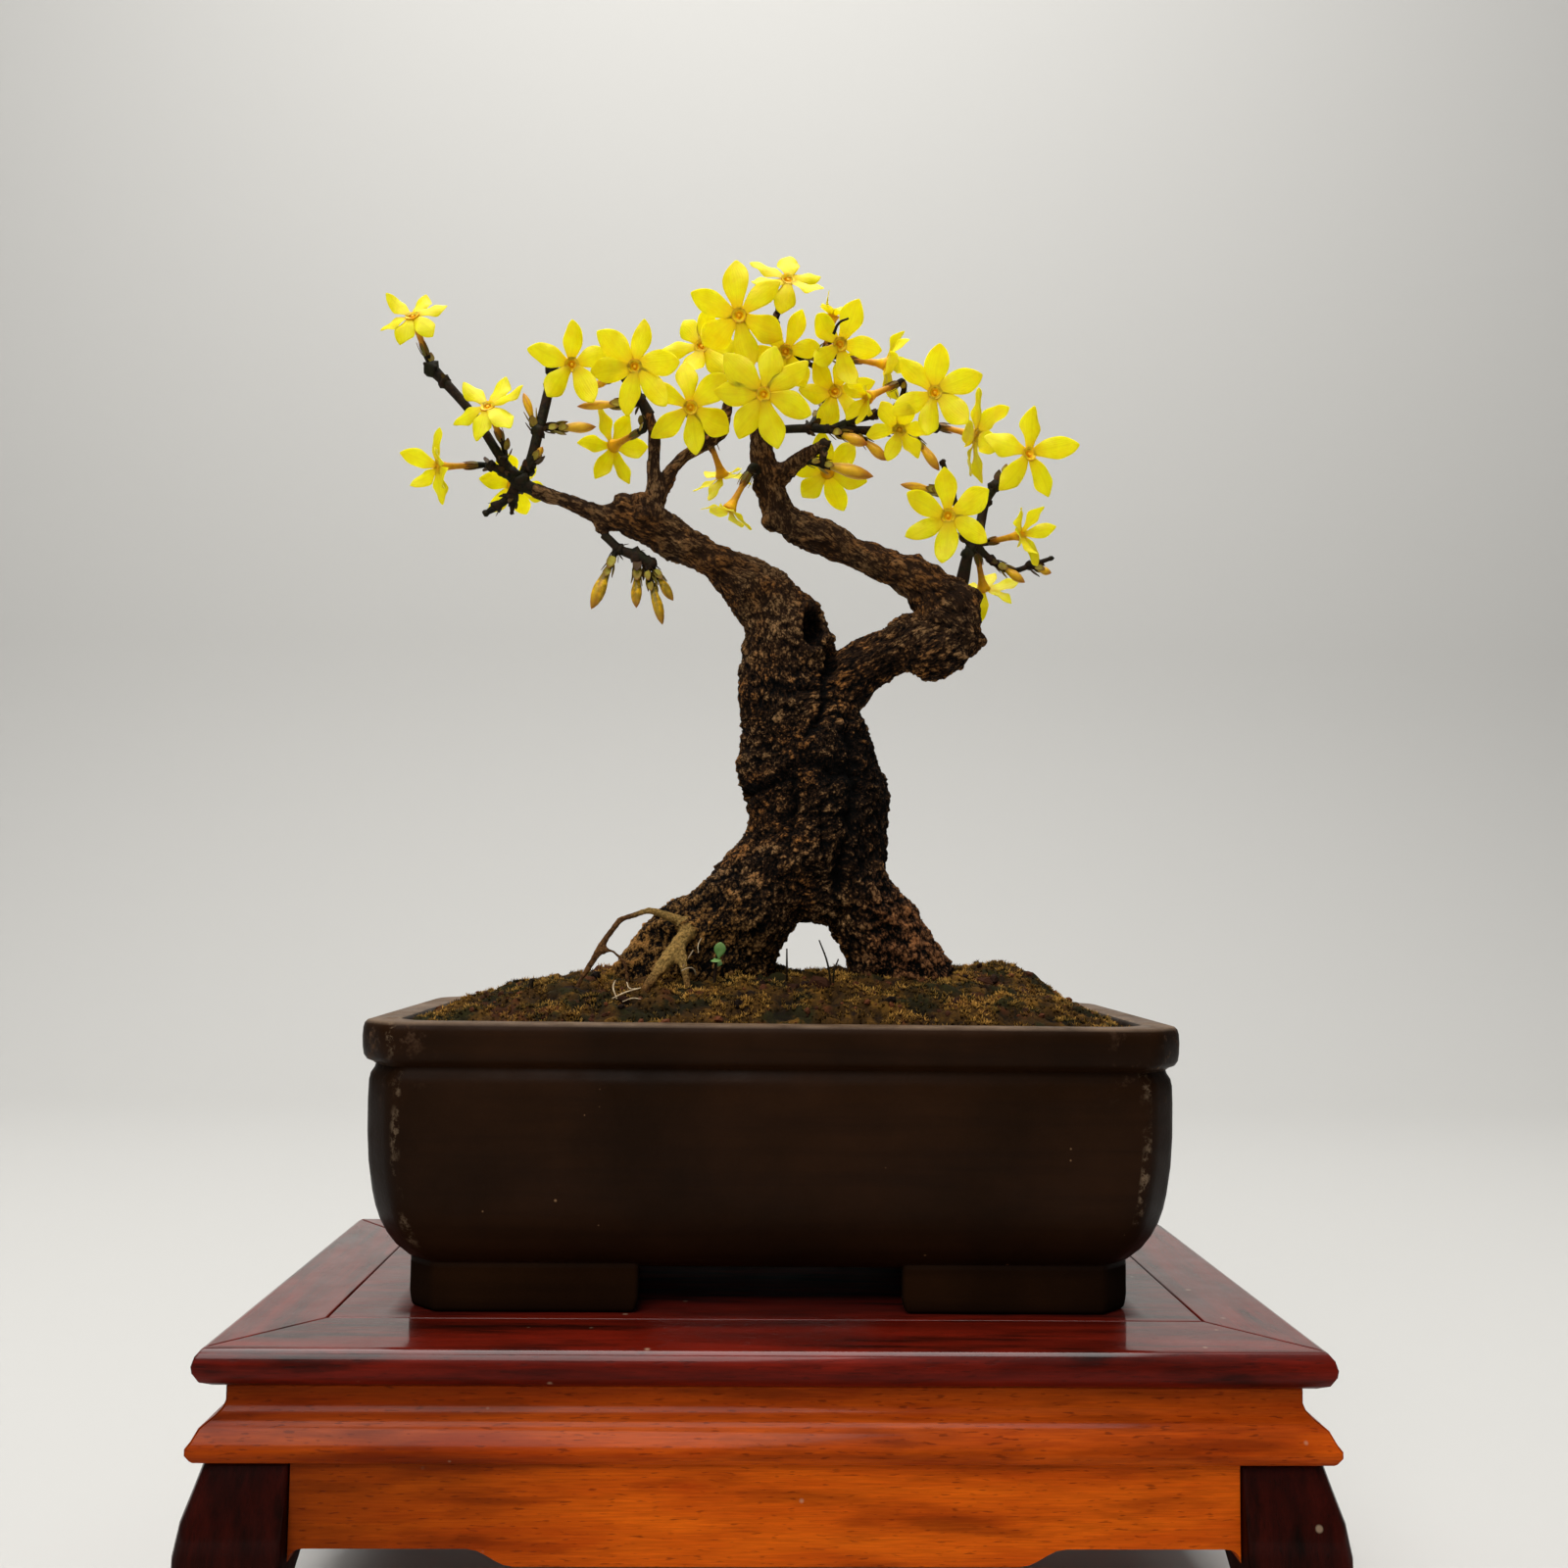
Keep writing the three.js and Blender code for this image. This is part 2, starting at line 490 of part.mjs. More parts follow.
// Buds as [what carries it, where it starts, tip, size].
const BUDS = [
  ["left_tip", [-64.9, -4.2, 309], [-49.8, -4.6, 309.6], 1.9],
  ["left_tip", [-65.6, -4.5, 307], [-69.6, -5, 318.6], 1.4],
  ["left_tip", [-67, -5, 298.6], [-64, -5.6, 303.4], 1.2],
  ["hanging_buds", [-43, -5, 275.8], [-49.6, -6.4, 258.6], 2.3],
  ["hanging_buds", [-37.4, -6, 273], [-37.4, -7, 259], 1.9],
  ["hanging_buds", [-35.2, -6, 271.8], [-30.2, -7.6, 254.4], 1.8],
  ["hanging_buds", [-34, -6, 271.4], [-27.6, -4.4, 261.6], 1.7],
  ["crown_left", [-37, -3, 317.2], [-54.6, -5.4, 315], 1.6],
  ["crown_left", [-44, -0.8, 326.4], [-50.6, 0.6, 322.6], 1.5],
  ["right_twig", [14.6, 4.4, 313], [25.6, -0.4, 307.4], 2],
  ["right_twig", [21.6, 3.8, 312.7], [31.4, 1.6, 303.6], 1.9],
  ["wood", [7.6, 4.8, 304.4], [27.4, 1.4, 298.8], 2.1],
  ["right_twig", [37.6, 3, 313.2], [45.8, -0.6, 300.4], 1.8],
  ["right_end", [49.6, -1, 293.6], [35, -2.4, 295.6], 1.5],
  ["right_end", [61, -0.4, 275], [69.6, -1.6, 268.8], 1.6],
  ["right_end", [72, 4.6, 275], [78.2, 4.4, 272.8], 1.4],
];

// Blooms in two lines each: the name, what carries it, where its stalk starts and the centre of
// its throat, then its facing, petal length, petals, turn of the first petal from upright in
// degrees, and how far it is open.
const BLOOMS = [
  ["left_top", "left_tip", [-94, -9, 323.4], [-98.5, -15, 335.8],
    [-0.2, -0.72, 0.66], 8.6, 6, 4, 1],
  ["left_upper", "left_tip", [-73.8, -6.8, 298], [-77.3, -17, 310.7],
    [-0.2, -0.82, 0.54], 10.2, 6, 12, 1],
  ["left_outer", "left_tip", [-77.6, -7, 297.4], [-91.2, -10.6, 295.9],
    [-0.81, -0.55, -0.21], 9.6, 6, 10, 0.85],
  ["left_back", "left_tip", [-71, -5.4, 293.8], [-73.5, 8, 296.2],
    [-0.19, 0.92, 0.35], 9.4, 6, 20, 1],
  ["left_crown", "left_tip", [-62, -3.4, 325], [-55.8, -12, 324.5],
    [0.26, -0.94, -0.23], 10.6, 5, -3, 0.9],
  ["crown_left_front", "crown_left", [-39, -2.8, 320.2], [-38.2, -18.6, 322],
    [0.09, -0.96, -0.28], 12, 6, 15, 1],
  ["crown_left_back", "crown_left", [-37.8, -2.8, 318.4], [-45.8, 8, 308.1],
    [-0.69, 0.7, -0.16], 10.4, 6, 30, 0.9],
  ["crown_front_left", "wood", [-20, 1.8, 307.4], [-23.5, -9, 314.2],
    [0.09, -0.95, -0.29], 12.2, 6, -6, 1],
  ["crown_high", "crown_middle_left", [-9.4, 0.6, 333.6], [-10.5, -17, 337.3],
    [-0.09, -0.95, -0.31], 13, 6, -11, 1],
  ["crown_behind", "crown_middle_left", [-11.8, 1.6, 326], [-21.1, 3, 335.8],
    [-0.17, -0.98, -0.03], 9.8, 6, 20, 1],
  ["crown_top", "crown_middle", [-0.4, 4.4, 343], [2.9, -5, 352.3],
    [0.2, -0.88, 0.42], 11.8, 6, 5, 1],
  ["crown_centre", "crown_middle", [0, 4, 333.6], [2.4, -7, 331.1],
    [-0.1, -0.92, -0.38], 10.6, 6, 25, 1],
  ["crown_front", "crown_middle", [-4, 5.4, 318], [-3.6, -19, 314.9],
    [-0.01, -0.91, -0.41], 12.8, 7, 8, 1],
  ["crown_right_front", "crown_middle", [-0.8, 4, 330.4], [17.3, -8.6, 332.9],
    [0.25, -0.94, -0.23], 11, 5, 18, 1],
  ["crown_right_low", "right_twig", [9.7, 5.2, 313.6], [17.1, 8.8, 325.4],
    [0.2, -0.98, 0], 11.2, 6, 15, 1],
  ["crown_half_open", "crown_middle", [0.3, 4, 338], [16, 9, 347.4],
    [0.18, -0.27, 0.95], 6.6, 6, 0, 0.45],
  ["crown_right_edge", "crown_middle", [-0.2, 4, 334.6], [31, 3, 331.6],
    [0.94, -0.27, -0.23], 10.4, 6, 12, 0.9],
  ["right_twig_top", "right_twig", [41.6, 3, 313.5], [42.9, -14.5, 317.8],
    [-0.02, -0.99, -0.11], 11.8, 6, 8, 1],
  ["right_twig_end", "right_twig", [45.2, 3.4, 313.8], [56.6, 4, 312],
    [0.88, -0.35, -0.32], 12.2, 6, 22, 0.95],
  ["right_twig_low", "right_twig", [34.6, 2, 318.8], [34.1, -6.5, 310],
    [-0.17, -0.66, -0.74], 8.2, 6, 28, 0.9],
  ["right_twig_left", "right_twig", [34.8, 2, 319], [25.2, -8, 318.4],
    [-0.75, -0.45, -0.49], 7.6, 6, 10, 0.6],
  ["middle_back", "wood", [14, 3.6, 308.2], [15.5, 17, 304.1],
    [0.15, 0.99, 0.08], 11, 6, 14, 1],
  ["middle_hanging", "wood", [-17.4, 2.4, 308.8], [-15, 15.5, 302.4],
    [0.34, 0.54, -0.77], 8.6, 6, 0, 0.8],
  ["middle_low", "wood", [-4.4, 5, 298.6], [-12.4, 0.6, 288.8],
    [-0.46, -0.04, -0.89], 8.2, 5, 15, 0.7],
  ["right_end_top", "right_end", [61, -2.8, 295.4], [69.4, -10, 302.6],
    [0.29, -0.95, 0.11], 11.8, 5, 5, 1],
  ["right_end_front", "right_end", [54.2, -4.8, 277.4], [46, -19, 282.7],
    [-0.17, -0.94, -0.29], 11.4, 6, -3, 1],
  ["right_end_half_open", "right_end", [55.2, -4.4, 279.6], [67.4, -8, 280.6],
    [0.65, -0.76, 0.01], 8.8, 6, 10, 0.6],
  ["right_end_hanging", "right_end", [55, -4.4, 279], [59.4, 7, 268.6],
    [0.24, 0.55, -0.8], 9.4, 6, 0, 0.85],
];

// A stalk that ends in a small green cup, square to the facing of its bloom.
function stalk(start, centre, facing) {
  const base = centre.clone().addScaledVector(facing, -TUBE_LENGTH - JOINT);
  const neck = base.clone().addScaledVector(facing, -2.4);
  const points = [[...start, 0.9], [...neck.toArray(), 0.85], [...base.toArray(), 1.25]];
  return limb(points, { sides: 4 });
}

// A spindle on a short stalk.
function bud(start, tip, size) {
  const [from, to] = [vec(...start), vec(...tip)];
  const along = (t, radius) => [...from.clone().lerp(to, t).toArray(), radius];
  return limb([
    along(0, 0.9), along(0.35, 0.85), along(0.6, size * 0.62), along(0.8, size), along(1, 0.25),
  ]);
}

// What grows from one carrier besides its own stems.
function growthOn(carrier) {
  const stalks = BLOOMS.filter((bloom) => bloom[1] === carrier)
    .map(([, , start, centre, facing]) => stalk(start, vec(...centre), vec(...facing).normalize()));
  const buds = BUDS.filter((entry) => entry[0] === carrier)
    .map(([, start, tip, size]) => bud(start, tip, size));
  return [...stalks, ...buds];
}

// What stands in the soil. The growth widens it, to cut the holes that it stands in.
function standingWood(grow) {
  return [
    limb(LEFT_ROOT, { sides: 11, perPoint: 2, level: true, grow, relief: oldWood(0.06, 2) }),
    limb(RIGHT_ROOT, { sides: 10, perPoint: 2, level: true, grow, relief: oldWood(0.05, 4) }),
    ...THIN_ROOTS.map((points) => limb(points, { grow })),
  ];
}

function trunk() {
  const wood = joined([
    limb(TRUNK, { sides: 12, perPoint: 2, level: true, relief: oldWood(0.05, 1) }),
    limb(LEFT_LIMB, { sides: 10, perPoint: 2, relief: oldWood(0.05, 5) }),
    limb(RIGHT_BRANCH, { sides: 9, perPoint: 2, relief: oldWood(0.05, 3) }),
    ...SWELLINGS.map((place) => ball(...place)),
    ...WOODY_BRANCHES.map((points) => limb(points, { sides: 6 })),
    ...standingWood(0),
    ...growthOn("wood"),
  ]);
  return wood.subtract(ball(...HOLLOW));
}

// Seedling with two pairs of round leaves, in front of the left root.
const SEEDLING = [-13.8, -21];
function seedling(grow) {
  const [x, y] = SEEDLING;
  const stem = limb([[x - 0.6, y, 155, 0.6], [x - 0.6, y, 161, 0.6], [x, y, 166.4, 0.6]], { grow });
  const leaves = [[-1.7, 163.4, 1.8], [0.9, 163.8, 1.6], [-1.4, 166.4, 1.9], [1.6, 166.8, 1.9]];
  const blades = leaves.map(([shift, z, size]) => ball(x + shift, y, z, size, 0.5, size * 0.8, 6));
  return joined([stem, ...blades]);
}

// Height of the soil: it rises quickly from the rim to a broad, lumpy mound.
function soilHeight(x, y) {
  const u = Math.min(1, Math.abs(x - POT_CENTRE_X) / (RIM_HALF_X - WALL));
  const w = Math.min(1, Math.abs(y - POT_CENTRE_Y) / (RIM_HALF_Y - WALL));
  const mound = MOUND_HEIGHT * (1 - u ** 4) * (1 - w ** 2.6);
  const lumps = 1.1 * Math.sin(0.21 * x + 1) * Math.cos(0.26 * y) + 0.7 * Math.sin(0.47 * x + 0.33 * y);
  const fromCushion = Math.hypot(x - CUSHION_X, y - CUSHION_Y) / CUSHION_RADIUS;
  const cushion = CUSHION_HEIGHT * Math.exp(-(fromCushion ** 2));
  return RIM_TOP - SOIL_EDGE_DROP + mound + cushion + lumps * (1 - u ** 6) * (1 - w ** 6);
}

function soil() {
  const [spanX, spanY] = [2 * RIM_HALF_X, 2 * RIM_HALF_Y];
  const geometry = new THREE.BoxGeometry(spanX, spanY, SOIL_DEEP, 22, 12, 1);
  geometry.translate(POT_CENTRE_X, POT_CENTRE_Y, 0);
  const position = geometry.attributes.position;
  for (let i = 0; i < position.count; i++) {
    const [x, y] = [position.getX(i), position.getY(i)];
    const top = position.getZ(i) > 0;
    position.setZ(i, top ? soilHeight(x, y) : RIM_TOP - SOIL_DEEP);
  }
  const filling = solidOf(geometry).intersect(potHollow(JOINT, 30));
  const holes = joined([...standingWood(WOOD_CLEARANCE), seedling(SEEDLING_CLEARANCE)]);
  return filling.subtract(holes);
}

// One petal: a thin blade, narrow at its root, widest past the middle, with a rounded end.
function petal(length, width, rise) {
  const outline = [
    [PETAL_ROOT, 0.6], [0.46 * length, 0.2 * length], [0.8 * length, 0.25 * length], [length, 0.1 * length],
  ];
  const steps = outline.length - 1;
  const geometry = new THREE.BoxGeometry(1, 1, 1, 1, steps, 1);
  const position = geometry.attributes.position;
  for (let i = 0; i < position.count; i++) {
    const station = Math.round((position.getY(i) + 0.5) * steps);
    const [out, half] = outline[station];
    const bend = rise + 0.16 * (station === 0 ? 0 : Math.cos((Math.PI * station) / steps));
    const lift = (out - PETAL_ROOT) * Math.sin(bend);
    const run = PETAL_ROOT + (out - PETAL_ROOT) * Math.cos(bend);
    position.setXYZ(i, 2 * half * width * position.getX(i), run, lift + PETAL_THICK * position.getZ(i));
  }
  return geometry;
}

// A bloom in its own frame: +Z is its facing, +Y its upright, and the throat is at the origin.
function bloom(length, petals, open, random) {
  const tube = limb([[0, 0, -TUBE_LENGTH, 0.85], [0, 0, 0.36, THROAT_RADIUS]], { sides: 6 });
  const blades = [];
  for (let k = 0; k < petals; k++) {
    const size = length * (0.94 + 0.1 * random());
    const width = 0.94 + 0.1 * random();
    const rise = 1.25 * (1 - open) + 0.1 * random();
    const blade = petal(size, width, rise);
    blade.rotateZ((-2 * Math.PI * k) / petals);
    blades.push(solidOf(blade));
  }
  return joined([tube, ...blades]);
}

// Turns a bloom's frame to its facing, with its upright as near +Z as it goes.
function facingTurn(facing, turnDegrees) {
  const front = vec(...facing).normalize();
  const guide = Math.abs(front.z) < 0.95 ? vec(0, 0, 1) : vec(0, 1, 0);
  const side = vec().crossVectors(guide, front).normalize();
  const upright = vec().crossVectors(front, side);
  const frame = new THREE.Matrix4().makeBasis(side, upright, front);
  const turn = new THREE.Matrix4().makeRotationZ(-THREE.MathUtils.degToRad(turnDegrees));
  return new THREE.Quaternion().setFromRotationMatrix(frame.multiply(turn));
}

// Finish of each kind of piece. Nothing here is metal.
function finish(name, color, roughness) {
  return new THREE.MeshStandardMaterial({ name, color, roughness, metalness: 0 });
}

const FINISHES = {
  rosewood: () => finish("dark red hardwood", 0x32100b, 0.25),
  redwood: () => finish("orange hardwood", 0x92300a, 0.35),
  stoneware: () => finish("brown stoneware", 0x2b170b, 0.45),
  moss: () => finish("mossy soil", 0x3a2c18, 0.95),
  bark: () => finish("bark", 0x45301f, 0.9),
  shoot: () => finish("green shoot", 0x26240c, 0.6),
  leaf: () => finish("leaf", 0x4f7a2c, 0.6),
  petal: () => finish("petal", 0xe5d312, 0.5),
};

function piece(name, material, solid) {
  const mesh = new THREE.Mesh(geometryOf(solid), FINISHES[material]());
  mesh.name = name;
  return mesh;
}

const SIDES = ["front", "back", "left", "right"];
const stand = new THREE.Group();
stand.add(...SIDES.map((side) => piece(`top_frame_${side}`, "rosewood", topMember(side))));
stand.add(piece("top_panel", "rosewood", topPanel()));
stand.add(piece("panel_batten", "redwood", panelBatten()));
stand.add(...SIDES.map((side) => piece(`waist_moulding_${side}`, "redwood", waistMoulding(side))));
stand.add(...SIDES.map((side) => piece(`apron_${side}`, "redwood", apron(side))));
stand.add(piece("leg_front_left", "rosewood", leg(-1, -1)));
stand.add(piece("leg_front_right", "rosewood", leg(1, -1)));
stand.add(piece("leg_back_left", "rosewood", leg(-1, 1)));
stand.add(piece("leg_back_right", "rosewood", leg(1, 1)));

const planting = new THREE.Group();
planting.add(piece("pot", "stoneware", pot()));
planting.add(piece("mossy_soil", "moss", soil()));
planting.add(piece("seedling", "leaf", seedling(0)));
planting.add(piece("trunk", "bark", trunk()));

const shoots = new THREE.Group();
for (const [name, stems] of Object.entries(SPRAYS)) {
  const solids = [...stems.map((points) => limb(points)), ...growthOn(name)];
  shoots.add(piece(`shoot_${name}`, "shoot", joined(solids)));
}

const random = seededRandom(SEED);
const blooms = new THREE.Group();
for (const [name, , , centre, facing, length, petals, turn, open] of BLOOMS) {
  const flower = piece(`bloom_${name}`, "petal", bloom(length, petals, open, random));
  flower.position.set(...centre);
  flower.quaternion.copy(facingTurn(facing, turn));
  blooms.add(flower);
}

const tree = new THREE.Group();
tree.name = "winter_jasmine_bonsai";
tree.add(stand, planting, shoots, blooms);

export default tree;
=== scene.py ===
# %% [markdown]
# # Winter jasmine bonsai
# An old winter jasmine in flower stands in a brown stoneware pot on a low hardwood stand. The
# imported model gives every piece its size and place. This script gives each piece its surface,
# and makes finer pieces for what a few flat faces can't show: bark, moss, petals and buds. Both
# sources of chance are seeded, the random draws and the noise, so each run gives the same tree.

# %% Load the frame
import math
import random
from contextlib import contextmanager

import bpy
import numpy as np
from mathutils import Matrix, Vector, noise
from mathutils.bvhtree import BVHTree


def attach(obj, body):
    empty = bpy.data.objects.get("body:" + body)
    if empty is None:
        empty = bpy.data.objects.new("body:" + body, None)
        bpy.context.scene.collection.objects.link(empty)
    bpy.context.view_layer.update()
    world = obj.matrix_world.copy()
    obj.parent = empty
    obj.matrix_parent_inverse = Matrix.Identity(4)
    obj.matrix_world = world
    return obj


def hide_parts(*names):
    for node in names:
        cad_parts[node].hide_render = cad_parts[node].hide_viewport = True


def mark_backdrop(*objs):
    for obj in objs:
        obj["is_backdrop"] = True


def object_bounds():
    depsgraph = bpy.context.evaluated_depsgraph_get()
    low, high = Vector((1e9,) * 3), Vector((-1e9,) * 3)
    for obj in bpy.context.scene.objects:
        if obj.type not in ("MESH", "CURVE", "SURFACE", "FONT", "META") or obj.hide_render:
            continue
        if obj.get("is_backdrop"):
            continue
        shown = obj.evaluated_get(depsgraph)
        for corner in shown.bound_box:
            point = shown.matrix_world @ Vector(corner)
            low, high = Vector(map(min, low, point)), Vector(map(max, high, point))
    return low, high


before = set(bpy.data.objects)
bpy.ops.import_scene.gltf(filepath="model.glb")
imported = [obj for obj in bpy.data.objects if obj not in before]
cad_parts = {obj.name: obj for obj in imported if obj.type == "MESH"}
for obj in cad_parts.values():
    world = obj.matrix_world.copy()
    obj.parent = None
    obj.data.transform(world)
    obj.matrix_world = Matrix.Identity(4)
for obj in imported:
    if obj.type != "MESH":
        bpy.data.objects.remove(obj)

MM = 0.001
SEED = 11
CAD_LOW, CAD_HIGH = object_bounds()
random.seed(SEED)
noise.seed_set(SEED)
print("frame:", len(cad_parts), "nodes,", [round(x / MM, 1) for x in CAD_HIGH - CAD_LOW], "mm")


def mm(*values):
    """A point or size given in millimetres, in the metres that the scene uses."""
    return Vector(values) * MM


# %% [markdown]
# ## Camera
# The camera comes first, because every look is judged through it. Its place and turn are those
# from which the corners of the real pot and stand line up: low, level with the soil, close by,
# and looking a little upward. A 36 mm lens on a 36 mm wide sensor gives the same perspective.

# %% Camera
CAMERA_PLACE = mm(-7.26, -429.2, 177.97)
CAMERA_YAW, CAMERA_PITCH, CAMERA_ROLL = (math.radians(a) for a in (1.4351, 4.5145, 0.644))
LENS = SENSOR_WIDTH = 36

bpy.ops.object.camera_add(location=CAMERA_PLACE)
camera = bpy.context.object
camera.name = "camera"
camera.data.lens = LENS
camera.data.sensor_width = SENSOR_WIDTH
camera.data.clip_start = 0.01
turn = Matrix.Rotation(-CAMERA_YAW, 3, "Z") @ Matrix.Rotation(math.pi / 2 + CAMERA_PITCH, 3, "X")
camera.rotation_euler = (turn @ Matrix.Rotation(CAMERA_ROLL, 3, "Z")).to_euler()
bpy.context.scene.camera = camera
print("camera at", [round(x, 3) for x in camera.location])


# %% [markdown]
# ## Small tools for shaping
# An operator works on whatever is selected, so each step first selects exactly one object. A
# modifier is added, set and applied in one go, which leaves plain meshes behind. Copies of a
# modelled piece get a mesh of their own, so that each can be bent or joined by itself.

# %% Tools for objects
def only(obj):
    """Selects this object alone and makes it the active one."""
    bpy.ops.object.select_all(action="DESELECT")
    obj.select_set(True)
    bpy.context.view_layer.objects.active = obj
    return obj


@contextmanager
def editing(obj):
    """Edit mode on this object, with all of it selected, and back to object mode at the end."""
    only(obj)
    bpy.ops.object.mode_set(mode="EDIT")
    bpy.ops.mesh.select_all(action="SELECT")
    yield
    bpy.ops.object.mode_set(mode="OBJECT")


def modify(obj, kind, **settings):
    """Adds a modifier, sets it and applies it."""
    only(obj)
    modifier = obj.modifiers.new(kind.lower(), kind)
    for name, value in settings.items():
        setattr(modifier, name, value)
    bpy.ops.object.modifier_apply(modifier=modifier.name)
    return obj


def new_object(name, data):
    """A new object in the scene with this mesh or curve."""
    made = bpy.data.objects.new(name, data)
    bpy.context.scene.collection.objects.link(made)
    return made


def new_mesh(name, points, edges=(), faces=()):
    """A new object made of these points, in metres."""
    mesh = bpy.data.meshes.new(name)
    mesh.from_pydata(points, edges, faces)
    return new_object(name, mesh)


def new_line(name, points):
    """A new object that is one line through these points, in metres."""
    return new_mesh(name, points, [(i, i + 1) for i in range(len(points) - 1)])


def copy_of(source, name, matrix=None):
    """A copy with its own mesh, moved by a matrix that goes into the mesh."""
    made = new_object(name, source.data.copy())
    if matrix is not None:
        made.data.transform(matrix)
    return made


def cad_copy(node, name):
    """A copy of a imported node, with its loose triangles merged into one closed skin."""
    made = copy_of(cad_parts[node], name)
    with editing(made):
        bpy.ops.mesh.remove_doubles(threshold=0.002 * MM)
    return made


def join(objects, name):
    """Joins objects into one."""
    only(objects[0])
    for obj in objects:
        obj.select_set(True)
    bpy.ops.object.join()
    joined = bpy.context.object
    joined.name = name
    return joined


def settle(obj):
    """Puts the object's place, turn and size into its mesh."""
    only(obj)
    bpy.ops.object.transform_apply(location=True, rotation=True, scale=True)
    return obj


def smooth(obj, degrees):
    """Smooth shading, with edges sharper than this left crisp."""
    only(obj)
    bpy.ops.object.shade_smooth_by_angle(angle=math.radians(degrees))
    return obj


def paint(obj, material):
    """Gives the object this material and no other."""
    obj.data.materials.clear()
    obj.data.materials.append(material)
    return obj


def seat(obj, slot, *nodes):
    """Makes the piece part of the object: it rides on the one body and stands for these nodes."""
    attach(obj, "root")
    if nodes:
        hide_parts(*nodes)
    print(obj.name, "has", len(obj.data.polygons), "faces")
    return obj


# %% [markdown]
# Some shapes and patterns are easier as arithmetic on all the points of a mesh at once. These
# helpers read the points as rows, write them back, and store values that a material reads. The
# others turn a thing that stands along Z into another direction, or any way at random.

# %% Tools for points and turns
ABOUT_A_TURN = 6.28


def points_of(obj):
    """The mesh's vertices as rows of x, y and z, in metres."""
    flat = np.zeros(len(obj.data.vertices) * 3)
    obj.data.vertices.foreach_get("co", flat)
    return flat.reshape(-1, 3)


def move_points(obj, points):
    """Puts the mesh's vertices at these rows of x, y and z."""
    obj.data.vertices.foreach_set("co", np.asarray(points, float).ravel())
    obj.data.update()


def normals_of(obj):
    """The mesh's vertex normals as rows."""
    return np.array([vertex.normal for vertex in obj.data.vertices])


def give_attribute(obj, name, kind, values):
    """Stores one value a vertex, for a material to read."""
    attribute = obj.data.attributes.new(name, kind, "POINT")
    key = "vector" if kind == "FLOAT_VECTOR" else "value"
    attribute.data.foreach_set(key, np.asarray(values, np.float32).ravel())


def give_place(obj, name, first, second, third=0.0):
    """Stores three values a vertex, for a material to read as one vector."""
    give_attribute(obj, name, "FLOAT_VECTOR", np.stack(np.broadcast_arrays(first, second, third), axis=1))


def pointing(direction):
    """The turn that brings a thing that stands along Z into this direction."""
    return Vector(direction).normalized().to_track_quat("Z", "Y").to_matrix().to_4x4()


def tumbled():
    """A turn by a random angle about a random line."""
    angle = random.random() * ABOUT_A_TURN
    return Matrix.Rotation(angle, 4, Vector([random.uniform(-1, 1) for _ in range(3)]))


def skin_of(obj):
    """The object's faces, ready to be asked where a ray meets them."""
    return BVHTree.FromObject(obj, bpy.context.evaluated_depsgraph_get())


# %% [markdown]
# ## Small tools for materials
# A material is a network of nodes. These helpers add a node with its settings and its inputs in
# one line, where an input is either a plain value or the output of another node. Patterns are
# laid out in millimetres: a Mapping node scales the object's own coordinates by a thousand.

# %% Tools for nodes
def srgb(red, green, blue):
    """A colour given as 0 to 255, as Blender's linear values."""
    linear = [((c / 255 + 0.055) / 1.055) ** 2.4 if c > 10 else c / 255 / 12.92
              for c in (red, green, blue)]
    return (*linear, 1)


def feed(tree, socket, value):
    """Links another node's output to a socket, or sets the socket's plain value."""
    if isinstance(value, bpy.types.NodeSocket):
        tree.links.new(value, socket)
    else:
        socket.default_value = value


def add(tree, kind, inputs=None, **settings):
    """Adds a node. Each input is a value or another node's output."""
    node = tree.nodes.new(kind)
    for name, value in settings.items():
        setattr(node, name, value)
    for key, value in (inputs or {}).items():
        feed(tree, node.inputs[key], value)
    return node


def wire(tree, node, **inputs):
    """Feeds a node's sockets, whose names are written with underscores."""
    for key, value in inputs.items():
        feed(tree, node.inputs[key.replace("_", " ")], value)
    return node


def new_group(name, inputs, outputs):
    """An empty node group with named sockets. Each socket is a (name, kind, value)."""
    group = bpy.data.node_groups.new(name, "ShaderNodeTree")
    for label, kind, value in inputs:
        socket = group.interface.new_socket(label, in_out="INPUT", socket_type=kind)
        if value is not None:
            socket.default_value = value
    for label, kind in outputs:
        group.interface.new_socket(label, in_out="OUTPUT", socket_type=kind)
    return group, group.nodes.new("NodeGroupInput").outputs, group.nodes.new("NodeGroupOutput").inputs


def grouped(tree, group, **inputs):
    """Places a node group in a material, with its own values."""
    return wire(tree, add(tree, "ShaderNodeGroup", node_tree=group), **inputs).outputs


def new_material(name):
    """A material with its shader, and the tree that it is built in."""
    material = bpy.data.materials.new(name)
    material.use_nodes = True
    tree = material.node_tree
    return material, tree, tree.nodes["Principled BSDF"]


# %% [markdown]
# Each of the next helpers is one step of a pattern: a sum, a stretch of a value's range, a mix
# of two colours, or a noise. Nearly every finish below lays one colour over another where a
# mask is, so that step has a name of its own as well.

# %% Tools for patterns
def sums(tree, operation, first, second=0.0, clamp=False):
    """One step of arithmetic."""
    node = add(tree, "ShaderNodeMath", {0: first, 1: second}, operation=operation, use_clamp=clamp)
    return node.outputs[0]


def times(tree, first, second, clamp=False):
    """The first value times the second."""
    return sums(tree, "MULTIPLY", first, second, clamp)


def plus(tree, first, second, clamp=False):
    """The sum of both values."""
    return sums(tree, "ADD", first, second, clamp)


def minus(tree, first, second):
    """The first value less the second."""
    return sums(tree, "SUBTRACT", first, second)


def unsigned(tree, value):
    """The value without its sign."""
    return sums(tree, "ABSOLUTE", value)


